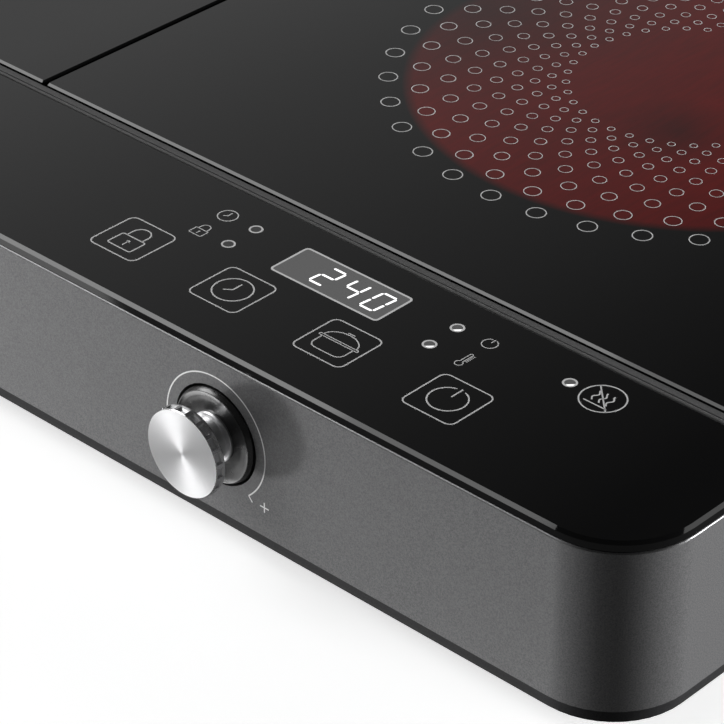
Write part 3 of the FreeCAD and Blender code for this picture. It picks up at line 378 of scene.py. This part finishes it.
def glowing_glass():
    """Black glass that lets the red of a heater through inside a round, soft-edged patch."""
    glass = black_glass("glowing_glass")

    def near(x, y, inner, outer):
        """One within inner millimetres of a place on the zone, fading to zero at outer."""
        place = {0: glass.coordinates, 1: (ZONE["right"].x + x * MM, ZONE["right"].y + y * MM, GLASS_TOP)}
        distance = glass.node("VectorMath", place, operation="DISTANCE").outputs["Value"]
        return glass.between(distance, 1.0, 0.0, inner * MM, outer * MM)

    light = near(0, 0, GLOW_RADIUS - GLOW_EDGE, GLOW_RADIUS + GLOW_EDGE)
    for x, y, reach, loss in GLOW_DIPS:
        dip = glass.math("MULTIPLY", near(x, y, 0, reach), loss)
        light = glass.math("MULTIPLY", light, glass.math("SUBTRACT", 1.0, dip))
    patches = glass.between(glass.noise(55.0, 1.0), 0.85, 1.12)
    streaks = glass.between(glass.noise(1.6, 2.0, (1.0, 0.12, 1.0)), 0.88, 1.1)
    light = glass.math("MULTIPLY", light, glass.math("MULTIPLY", patches, streaks))
    glass.shader.inputs["Emission Color"].default_value = GLOW_COLOUR
    glass.feed("Emission Strength", glass.math("MULTIPLY", light, GLOW_STRENGTH))
    return glass.material


def print_white(name, shade, light=0.0):
    """Fired enamel or ink: slightly uneven white, lit from behind where light is above zero."""
    ink = Finish(name, {"Roughness": 0.55, "Specular IOR Level": 0.3})
    speckle = ink.noise(0.6, 3.0)
    ink.colour(speckle, grey(shade * 0.9), grey(shade * 1.08))
    ink.shader.inputs["Emission Color"].default_value = (1, 1, 1, 1)
    ink.shader.inputs["Emission Strength"].default_value = light
    return ink.bump(speckle, 0.004, 0.3).material


# A lit lamp's window is grey up to this x minus y from its centre, and white from the second on.
LENS_GREY_TO = 1.0
LENS_WHITE_FROM = 1.7
LENS_LIGHT = 1.8


def lit_lens():
    """A lamp's window, white towards the front right and grey behind, as its light comes in askew."""
    lens = Finish("lit_lens", {"Roughness": 0.3})
    lens.colour(lens.noise(0.8), grey(0.10), grey(0.13))
    parts = lens.node("SeparateXYZ", {"Vector": lens.coordinates}).outputs
    slope = lens.math("SUBTRACT", parts["X"], parts["Y"])
    lens.shader.inputs["Emission Color"].default_value = (1, 1, 1, 1)
    light = lens.between(slope, 0.02, LENS_LIGHT, LENS_GREY_TO * MM, LENS_WHITE_FROM * MM)
    lens.feed("Emission Strength", light)
    return lens.material


FINISHES = (
    painted_steel, base_paint, silicone, rubber, zinc_steel, steel_fasteners, spun_aluminium,
    knob_black, black_plastic, circuit_board, lamp_plastic, conductive_foam, insulation,
    ribbon_alloy, ceramic_white, component_plastic, board_nylon, heatsink_aluminium, ferrite,
)  # fmt: skip


def dress_cad_nodes():
    """Each CAD node's packed material is named after its slot; the finish of that name takes its place."""
    finishes = {make.__name__: make() for make in FINISHES}
    finishes["black_glass"] = black_glass().material
    for node, obj in frame["nodes"].items():
        for entry in obj.material_slots:
            entry.material = finishes[entry.material.name]
    frame["nodes"]["cooktop_glass_right"].material_slots[0].material = glowing_glass()
    frame["nodes"]["seam_trim"].material_slots[0].material = trim_paint()


# ---------------------------------------------------------------- drawing on a face


def arc(x, y, radius, start, end, steps=16):
    """Points on a circle from one angle to another, in degrees, both ends included."""
    angles = [math.radians(start + (end - start) * k / steps) for k in range(steps + 1)]
    return [(x + radius * math.cos(a), y + radius * math.sin(a)) for a in angles]


def circle(x, y, radius, steps=32):
    return arc(x, y, radius, 0, 360, steps)[:-1]


def rounded(x, y, width, height, radius, steps=5):
    """A rectangle with round corners, centred at x, y."""
    points = []
    for quarter, (i, j) in enumerate(((1, 1), (-1, 1), (-1, -1), (1, -1))):
        corner = (x + i * (width / 2 - radius), y + j * (height / 2 - radius))
        points += arc(*corner, radius, 90 * quarter, 90 * quarter + 90, steps)
    return points


def offset_point(before, point, after, reach):
    """Where a line drawn reach to the left of both neighbouring runs turns its corner."""
    normals = []
    for start, end in ((before, point), (point, after)):
        run = (Vector(end) - Vector(start)).normalized()
        normals.append(Vector((-run.y, run.x)))
    if not normals[0].length:
        normals[0] = normals[1]
    if not normals[1].length:
        normals[1] = normals[0]
    together = normals[0] + normals[1]
    return Vector(point) + together * (reach / (1 + normals[0].dot(normals[1])))


class Print:
    """Flat closed shapes on a face, gathered into one mesh."""

    def __init__(self, proud=PRINT_PROUD):
        self.verts = []
        self.faces = []
        self.proud = proud

    def line(self, points, width, closed=False):
        """A stroke of that width along the points."""
        count = len(points)
        first = len(self.verts)
        for i, point in enumerate(points):
            before = points[i - 1] if closed or i else point
            after = points[(i + 1) % count] if closed or i < count - 1 else point
            left = offset_point(before, point, after, width / 2)
            right = offset_point(before, point, after, -width / 2)
            self.verts += [(*left, self.proud), (*left, -PRINT_SUNK)]
            self.verts += [(*right, -PRINT_SUNK), (*right, self.proud)]
        for i in range(count if closed else count - 1):
            here = first + 4 * i
            there = first + 4 * ((i + 1) % count)
            for k in range(4):
                n = (k + 1) % 4
                self.faces.append((here + k, here + n, there + n, there + k))
        if not closed:
            last = first + 4 * (count - 1)
            self.faces.append((first + 3, first + 2, first + 1, first))
            self.faces.append((last, last + 1, last + 2, last + 3))

    def loop(self, points, width):
        self.line(points, width, closed=True)

    def patch(self, points):
        """A filled outline, given anticlockwise."""
        count = len(points)
        first = len(self.verts)
        self.verts += [(*p, self.proud) for p in points]
        self.verts += [(*p, -PRINT_SUNK) for p in points]
        top = range(first, first + count)
        self.faces.append(tuple(top))
        self.faces.append(tuple(k + count for k in reversed(top)))
        for i in top:
            n = first + (i - first + 1) % count
            self.faces.append((i, i + count, n + count, n))

    def piece(self, name, place, material):
        """Makes the Blender object, on the chassis."""
        mesh = bpy.data.meshes.new(name)
        mesh.from_pydata([Vector(v) * MM for v in self.verts], [], self.faces)
        mesh.materials.append(material)
        made = bpy.data.objects.new(name, mesh)
        bpy.context.scene.collection.objects.link(made)
        made.matrix_world = place
        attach(made, "chassis")
        return made


# ---------------------------------------------------------------- the zones' ring marks

RING_COUNT = 9
MARKS_PER_RING = 36
OUTER_RING_RADIUS = 95.8
RING_RATIO = 0.8946
OUTER_MARK_DIAMETER = 6.35
MARK_LINE = 0.35


def zone_marks(side, ink):
    """Rings of small circles that shrink towards the middle; every other ring is turned half a step."""
    marks = Print()
    step = 360 / MARKS_PER_RING
    for ring in range(RING_COUNT):
        shrink = RING_RATIO**ring
        width = MARK_LINE * max(shrink, 0.7)
        radius = (OUTER_MARK_DIAMETER * shrink - width) / 2
        for mark in range(MARKS_PER_RING):
            turn = math.radians(step * (mark + (ring % 2) / 2))
            x = OUTER_RING_RADIUS * shrink * math.cos(turn)
            y = OUTER_RING_RADIUS * shrink * math.sin(turn)
            marks.loop(circle(x, y, radius, 28), width)
    marks.piece(f"zone_marks_{side}", zone_place(side), ink)


# ---------------------------------------------------------------- touch panel

BUTTON_SIZE = 18.7
BUTTON_CORNER = 2.3
BUTTON_ROW = 25.4
BUTTON_SPACING = 41.23
FIRST_BUTTON = -59.3
LINE = 0.45
SMALL_ICON = 0.51
SMALL_POWER = 0.41

# Places of the small signs, in the panel's drawing frame.
SMALL_CLOCK_AT = (-48.6, 54.0)
SMALL_PADLOCK_AT = (-48.4, 42.9)
SMALL_POWER_AT = (54.3, 54.3)
THERMOMETER_AT = (54.5, 41.0)
HOT_SURFACE_AT = (95.0, 54.5)


def moved(points, x, y, scale):
    return [(x + px * scale, y + py * scale) for px, py in points]


def padlock(panel, x, y, scale=1.0, line=LINE):
    body = rounded(0, -2.7, 9.4, 6.6, 0.7, 3)
    shackle = [(3.15, 0.6)] + arc(0, 3.1, 3.15, 0, 180, 14) + [(-3.15, 0.6)]
    panel.loop(moved(body, x, y, scale), line)
    panel.line(moved(shackle, x, y, scale), line)
    panel.patch(moved(circle(0, -1.9, 0.6, 12), x, y, scale))
    panel.line(moved([(0, -2.0), (0, -4.4)], x, y, scale), line * 0.9)


def clock(panel, x, y, scale=1.0, line=LINE):
    panel.loop(moved(circle(0, 0, 6.1), x, y, scale), line)
    panel.line(moved([(0, 3.8), (0, 0), (-2.3, -1.7)], x, y, scale), line)


def pot(panel, x, y, line=LINE * 0.85):
    """A covered pot from the side: bowl, rim with two ears, domed lid and its knob."""
    lid = [(6.2 * math.cos(a), 0.9 + 4.3 * math.sin(a)) for a in (math.pi * k / 20 for k in range(21))]
    left_corner = arc(-3.4, -3.3, 2.5, 180, 270, 6)
    right_corner = arc(3.4, -3.3, 2.5, 270, 360, 6)
    bowl = [(-5.9, 0.1)] + left_corner + right_corner + [(5.9, 0.1)]
    panel.line(moved(lid, x, y, 1), line)
    panel.loop(moved(rounded(0, 0.5, 14.6, 0.85, 0.3, 2), x, y, 1), line * 0.8)
    panel.line(moved(bowl, x, y, 1), line)
    panel.line(moved([(-1.3, 5.9), (1.3, 5.9)], x, y, 1), line)


def power(panel, x, y, scale=1.0, line=LINE):
    gap = 15
    panel.line(moved(arc(0, 0, 5.8, 90 + gap, 450 - gap, 36), x, y, scale), line)
    panel.line(moved([(0, 1.5), (0, 6.4)], x, y, scale), line)


def thermometer(panel, x, y, line=LINE * 0.6):
    bulb_radius, tube_half, tube_top = 1.2, 0.5, 5.4
    open_half = math.degrees(math.asin(tube_half / bulb_radius))
    bulb = arc(0, 0, bulb_radius, 90 + open_half, 450 - open_half, 20)
    outline = bulb + arc(0, tube_top, tube_half, 0, 180, 8)
    panel.loop(moved(outline, x, y, 1), line)
    for tick in range(6):
        height = 1.9 + 0.65 * tick
        panel.line(moved([(0.75, height), (1.6, height)], x, y, 1), line)


def hot_surface(panel, x, y, line=LINE):
    """A general sign for a hot surface: three rising waves over a line, struck through."""
    radius = 6.7
    panel.loop(moved(circle(0, 0, radius), x, y, 1), line)
    for wave in (-2.5, 0.0, 2.5):
        heights = [-2.3 + 0.2 * k for k in range(27)]
        rise = [(wave + 0.45 * math.sin(h * 1.8), h) for h in heights]
        panel.line(moved(rise, x, y, 1), line)
    panel.line(moved([(-4.0, -3.6), (4.0, -3.6)], x, y, 1), line)
    slant = radius * math.sqrt(0.5)
    panel.line(moved([(-slant, slant), (slant, -slant)], x, y, 1), line)


def panel_graphics(side, ink):
    """Touch fields and the small signs round the display."""
    panel = Print()
    for icon_number, icon in enumerate((padlock, clock, pot, power)):
        x = FIRST_BUTTON + BUTTON_SPACING * icon_number
        panel.loop(rounded(x, BUTTON_ROW, BUTTON_SIZE, BUTTON_SIZE, BUTTON_CORNER), LINE)
        icon(panel, x, BUTTON_ROW)
    clock(panel, *SMALL_CLOCK_AT, SMALL_ICON, LINE * 0.8)
    padlock(panel, *SMALL_PADLOCK_AT, SMALL_ICON, LINE * 0.7)
    power(panel, *SMALL_POWER_AT, SMALL_POWER, LINE * 0.7)
    thermometer(panel, *THERMOMETER_AT)
    hot_surface(panel, *HOT_SURFACE_AT)
    panel.piece(f"panel_print_{side}", panel_place(side), ink)


# ---------------------------------------------------------------- display and lamps

DISPLAY_MIDDLE = (2.25, 49.05)
DISPLAY_SIZE = (41.5, 15.7)
DISPLAY_CORNER = 1.2
DISPLAY_BORDER = 0.7
DIGIT_HEIGHT = 10.2
DIGIT_WIDTH = 5.9
DIGIT_PITCH = 9.9
DIGIT_SLANT = math.tan(math.radians(6))
SEGMENT_WIDTH = 0.78
SEGMENT_GAP = 0.22
LAMP_RADIUS = 2.2
LAMP_RING = 0.6
LAMPS_OFF = ((-37.0, 54.1), (-37.0, 42.6))
LAMPS_ON = ((42.2, 54.3), (42.2, 42.6), (83.3, 54.5))

# Ends of the seven bars of a digit, on a grid from -1 to 1 both ways.
SEGMENTS = {
    "top": ((-1, 1), (1, 1)),
    "middle": ((-1, 0), (1, 0)),
    "bottom": ((-1, -1), (1, -1)),
    "upper_left": ((-1, 0), (-1, 1)),
    "upper_right": ((1, 0), (1, 1)),
    "lower_left": ((-1, -1), (-1, 0)),
    "lower_right": ((1, -1), (1, 0)),
}
DIGITS = {
    "2": ("top", "upper_right", "middle", "lower_left", "bottom"),
    "4": ("upper_left", "upper_right", "middle", "lower_right"),
    "0": ("top", "bottom", "upper_left", "upper_right", "lower_left", "lower_right"),
}
SHOWN_NUMBER = "240"
LAST_DIGIT_X = 16.7


def segment(display, x, y, start, end):
    """One bar of a digit, pointed at both ends."""
    half_width = (DIGIT_WIDTH - SEGMENT_WIDTH) / 2
    half_height = (DIGIT_HEIGHT - SEGMENT_WIDTH) / 2
    a = Vector((start[0] * half_width, start[1] * half_height))
    b = Vector((end[0] * half_width, end[1] * half_height))
    along = (b - a).normalized()
    side = Vector((-along.y, along.x)) * SEGMENT_WIDTH / 2
    a += along * SEGMENT_GAP
    b -= along * SEGMENT_GAP
    shoulder = along * SEGMENT_WIDTH * 0.4
    outline = [a, a + shoulder - side, b - shoulder - side, b, b - shoulder + side, a + shoulder + side]
    display.patch([(x + p.x + p.y * DIGIT_SLANT, y + p.y) for p in outline])


def display(side, lit, line_ink, lit_ink, window_ink):
    place = panel_place(side)
    outline = rounded(*DISPLAY_MIDDLE, *DISPLAY_SIZE, DISPLAY_CORNER)
    window = Print()
    window.patch(outline)
    window.piece(f"display_window_{side}", place, window_ink)
    border = Print(PRINT_PROUD * 1.5)
    border.loop(outline, DISPLAY_BORDER)
    border.piece(f"display_frame_{side}", place, line_ink)
    if not lit:
        return
    digits = Print(PRINT_PROUD * 2)
    for back, digit in enumerate(reversed(SHOWN_NUMBER)):
        x = LAST_DIGIT_X - back * DIGIT_PITCH
        for name in DIGITS[digit]:
            segment(digits, x, DISPLAY_MIDDLE[1], *SEGMENTS[name])
    digits.piece(f"display_digits_{side}", place, lit_ink)


def lamps(side, lit, ring_ink, lit_ring_ink, lens_on, lens_off):
    """A ring and a window for each lamp; a lit one is a piece of its own, so that its light has a centre."""
    for number, (x, y) in enumerate(LAMPS_OFF + LAMPS_ON):
        on = lit and (x, y) in LAMPS_ON
        place = panel_place(side) @ Matrix.Translation((x * MM, y * MM, 0))
        ring = Print()
        ring.loop(circle(0, 0, LAMP_RADIUS - LAMP_RING / 2), LAMP_RING)
        ring.piece(f"lamp_ring_{side}_{number}", place, lit_ring_ink if on else ring_ink)
        window = Print(PRINT_PROUD / 2)
        window.patch(circle(0, 0, LAMP_RADIUS - LAMP_RING * 0.8, 24))
        window.piece(f"lamp_window_{side}_{number}", place, lens_on if on else lens_off)


# ---------------------------------------------------------------- print round the knobs

DIAL_RADIUS = 19.6
DIAL_END = -49
DIAL_TICK = 2.2
SIGN_PLACE = (19.05, -16.0)
SIGN_REACH = 1.7


def knob_graphics(side, ink):
    """A scale line over the knob, with a minus at its left end and a plus at its right end."""
    scale = Print()
    scale.line(arc(0, 0, DIAL_RADIUS, DIAL_END, 180 - DIAL_END, 72), LINE)
    tick_end = DIAL_RADIUS + DIAL_TICK
    for hand in (1, -1):
        foot, tip = (
            (hand * r * math.cos(math.radians(DIAL_END)), r * math.sin(math.radians(DIAL_END)))
            for r in (DIAL_RADIUS, tick_end)
        )
        scale.line([foot, tip], LINE)
        x, y = hand * SIGN_PLACE[0], SIGN_PLACE[1]
        scale.line([(x - SIGN_REACH, y), (x + SIGN_REACH, y)], LINE)
    x, y = SIGN_PLACE
    for end in (SIGN_REACH, -SIGN_REACH):
        scale.line([(x, y + math.copysign(LINE / 2, end)), (x, y + end)], LINE)
    scale.piece(f"knob_print_{side}", knob_place(side), ink)


def graphics():
    enamel = print_white("enamel_print", 0.78)
    wall_ink = print_white("wall_print", 0.85)
    display_line = print_white("display_line", 0.35, 0.25)
    display_light = print_white("display_light", 0.8, 1.2)
    window_lit = print_white("display_window_lit", 0.08, 0.06)
    window_dark = print_white("display_window_dark", 0.012)
    lens_dark = print_white("lamp_window_dark", 0.08)
    lens_lit = lit_lens()
    for side in SIDES:
        lit = side == "right"
        zone_marks(side, enamel)
        panel_graphics(side, enamel)
        display(side, lit, display_line if lit else enamel, display_light, window_lit if lit else window_dark)
        lamps(side, lit, enamel, display_line, lens_lit, lens_dark)
        knob_graphics(side, wall_ink)


# ---------------------------------------------------------------- floor, light and camera


FLOOR_REACH = 8.0
FLOOR_LIGHT = 0.68


def floor():
    """Pale floor. It lights nothing itself, and lets the low lamp through, so the part keeps its contrast."""
    mesh = bpy.data.meshes.new("floor")
    corners = [(i * FLOOR_REACH, j * FLOOR_REACH, 0) for i, j in ((-1, -1), (1, -1), (1, 1), (-1, 1))]
    mesh.from_pydata(corners, [], [(0, 1, 2, 3)])
    made = bpy.data.objects.new("floor", mesh)
    bpy.context.scene.collection.objects.link(made)
    made.visible_diffuse = False
    made.visible_glossy = False
    made.visible_shadow = False
    paper = Finish("floor_paper", {"Roughness": 0.9, "Specular IOR Level": 0.1})
    paper.colour(paper.noise(300.0), grey(0.86), grey(0.88))
    paper.shader.inputs["Emission Color"].default_value = (1, 1, 1, 1)
    paper.shader.inputs["Emission Strength"].default_value = FLOOR_LIGHT
    mesh.materials.append(paper.material)


def softbox(name, direction, distance, width, height, brightness):
    """A rectangular lamp that looks back at the part from a direction; brightness is its radiance."""
    light = bpy.data.lights.new(name, "AREA")
    light.shape = "RECTANGLE"
    light.size = width
    light.size_y = height
    light.energy = brightness * math.pi * width * height
    made = bpy.data.objects.new(name, light)
    bpy.context.scene.collection.objects.link(made)
    towards = Vector(direction).normalized()
    made.location = middle("housing_shell") + towards * distance
    made.rotation_mode = "QUATERNION"
    made.rotation_quaternion = towards.to_track_quat("Z", "Y")
    made.visible_camera = False
    return made


# Brightness of the studio's upper half against x/z of the direction, darker towards the right.
SKY_SLOPES = ((-1.46, 0.505), (-1.30, 0.345), (-1.14, 0.218), (-0.98, 0.10), (-0.86, 0.036))
SKY_BELOW = 0.1
SKY_SEEN = 0.92


def studio_world():
    world = bpy.data.worlds.new("studio")
    bpy.context.scene.world = world
    world.use_nodes = True
    tree = world.node_tree
    nodes, links = tree.nodes, tree.links
    direction = nodes.new("ShaderNodeTexCoord").outputs["Generated"]
    parts = nodes.new("ShaderNodeSeparateXYZ")
    links.new(direction, parts.inputs[0])
    slope = nodes.new("ShaderNodeMath")
    slope.operation = "DIVIDE"
    links.new(parts.outputs["X"], slope.inputs[0])
    links.new(parts.outputs["Z"], slope.inputs[1])
    across = nodes.new("ShaderNodeMapRange")
    across.inputs["From Min"].default_value = SKY_SLOPES[0][0]
    across.inputs["From Max"].default_value = SKY_SLOPES[-1][0]
    links.new(slope.outputs[0], across.inputs["Value"])
    ramp = nodes.new("ShaderNodeValToRGB")
    span = SKY_SLOPES[-1][0] - SKY_SLOPES[0][0]
    stops = ramp.color_ramp.elements
    for _ in SKY_SLOPES[2:]:
        stops.new(0.5)
    for stop, (position, brightness) in zip(stops, SKY_SLOPES):
        stop.position = (position - SKY_SLOPES[0][0]) / span
        stop.color = (*grey(brightness), 1)
    links.new(across.outputs["Result"], ramp.inputs["Fac"])
    above = nodes.new("ShaderNodeMath")
    above.operation = "GREATER_THAN"
    above.inputs[1].default_value = 0.0
    links.new(parts.outputs["Z"], above.inputs[0])
    halves = nodes.new("ShaderNodeMix")
    halves.data_type = "RGBA"
    halves.inputs[6].default_value = (*grey(SKY_BELOW), 1)
    links.new(above.outputs[0], halves.inputs[0])
    links.new(ramp.outputs["Color"], halves.inputs[7])
    seen = nodes.new("ShaderNodeMix")
    seen.data_type = "RGBA"
    seen.inputs[7].default_value = (*grey(SKY_SEEN), 1)
    links.new(nodes.new("ShaderNodeLightPath").outputs["Is Camera Ray"], seen.inputs[0])
    links.new(halves.outputs[2], seen.inputs[6])
    links.new(seen.outputs[2], nodes["Background"].inputs["Color"])


# Name, direction from the part, distance, width, height and radiance of each softbox.
# Two stacked boxes at the left make the bevels bright, then dim, then dark towards the right corner.
# The one behind lights the right wall, and the small low lamp throws the knob's shadow up the wall.
SOFTBOXES = (
    ("key_wide", (-0.672, -0.428, 0.604), 2.5, 1.755, 1.3, 2.6),
    ("key_left", (-0.706, -0.373, 0.602), 2.5, 1.68, 1.3, 1.9),
    ("table_shine", (-0.765, -0.407, -0.500), 1.6, 1.1, 0.5, 1.1),
    ("table_near", (-0.43, -0.42, -0.80), 1.6, 0.9, 0.5, 3.4),
    ("horizon_left", (-0.70, -0.68, -0.20), 1.6, 0.9, 0.36, 3.0),
    ("rear_sheen", (0.69, 0.62, 0.37), 2.0, 1.2, 0.85, 1.3),
    ("rear_right", (0.74, 0.66, 0.10), 2.5, 0.9, 0.7, 44.0),
)
SHADOW_LAMP = ("low_front", (-0.68, -0.60, -0.42), 1.6, 0.16, 0.16, 240.0)


def lights():
    """All the lamps; the one for the shadow isn't mirrored in the part."""
    for box in SOFTBOXES:
        softbox(*box)
    softbox(*SHADOW_LAMP).visible_glossy = False


# The camera's axes, its place from the right zone's centre on the glass, and its lens.
CAMERA_RIGHT = Vector((0.730568, 0.682832, 0.003418))
CAMERA_DOWN = Vector((0.372818, -0.394678, -0.839783))
CAMERA_FORWARD = Vector((-0.572082, 0.614792, -0.542911))
CAMERA_FROM_ZONE = Vector((0.565132, -0.759285, 0.503100))
SENSOR_WIDTH = 36.0
FOCAL_LENGTH = 166.755
CAMERA_SHIFT = (-0.00062, 0.00055)


def camera():
    """Seen from the front right and above, close on the right panel and knob."""
    zone = Vector((ZONE["right"].x, ZONE["right"].y, GLASS_TOP))
    data = bpy.data.cameras.new("camera")
    data.sensor_width = SENSOR_WIDTH
    data.lens = FOCAL_LENGTH
    data.clip_end = 100.0
    data.shift_x, data.shift_y = CAMERA_SHIFT
    made = bpy.data.objects.new("camera", data)
    bpy.context.scene.collection.objects.link(made)
    turned = Matrix((CAMERA_RIGHT, -CAMERA_DOWN, -CAMERA_FORWARD)).transposed().to_4x4()
    made.matrix_world = Matrix.Translation(zone + CAMERA_FROM_ZONE) @ turned
    bpy.context.scene.camera = made


# Edges flatter than this are shaded smooth; points nearer than the second, in metres, are joined.
SHARP_ANGLE = math.radians(30)
JOIN_WITHIN = 1e-7


def smoothing():
    """Node group that joins the split edges of a CAD mesh and shades it smooth below the sharp angle."""
    tree = bpy.data.node_groups.new("smooth_below_sharp_angle", "GeometryNodeTree")
    tree.interface.new_socket("Geometry", in_out="INPUT", socket_type="NodeSocketGeometry")
    tree.interface.new_socket("Geometry", in_out="OUTPUT", socket_type="NodeSocketGeometry")
    nodes, links = tree.nodes, tree.links
    joined = nodes.new("GeometryNodeMergeByDistance")
    joined.inputs["Distance"].default_value = JOIN_WITHIN
    plain = nodes.new("GeometryNodeRemoveAttribute")
    plain.inputs["Name"].default_value = "custom_normal"
    faces = nodes.new("GeometryNodeSetShadeSmooth")
    edges = nodes.new("GeometryNodeSetShadeSmooth")
    edges.domain = "EDGE"
    gentle = nodes.new("FunctionNodeCompare")
    gentle.operation = "LESS_EQUAL"
    gentle.inputs["B"].default_value = SHARP_ANGLE
    angle = nodes.new("GeometryNodeInputMeshEdgeAngle").outputs["Unsigned Angle"]
    links.new(angle, gentle.inputs["A"])
    links.new(gentle.outputs["Result"], edges.inputs["Shade Smooth"])
    chain = (nodes.new("NodeGroupInput"), joined, plain, faces, edges, nodes.new("NodeGroupOutput"))
    for before, after in zip(chain, chain[1:]):
        links.new(before.outputs["Geometry"], after.inputs["Geometry"])
    return tree


def smooth_cad_nodes():
    """Shading only: flat faces keep their own normals and round ones run on from them without a step."""
    tree = smoothing()
    for obj in frame["nodes"].values():
        obj.modifiers.new("smooth", "NODES").node_group = tree
        weighted = obj.modifiers.new("flat_faces_first", "WEIGHTED_NORMAL")
        weighted.weight = 100
        weighted.keep_sharp = True


dress_cad_nodes()
smooth_cad_nodes()
graphics()
floor()
studio_world()
lights()
camera()
bpy.context.scene.view_settings.view_transform = "Standard"
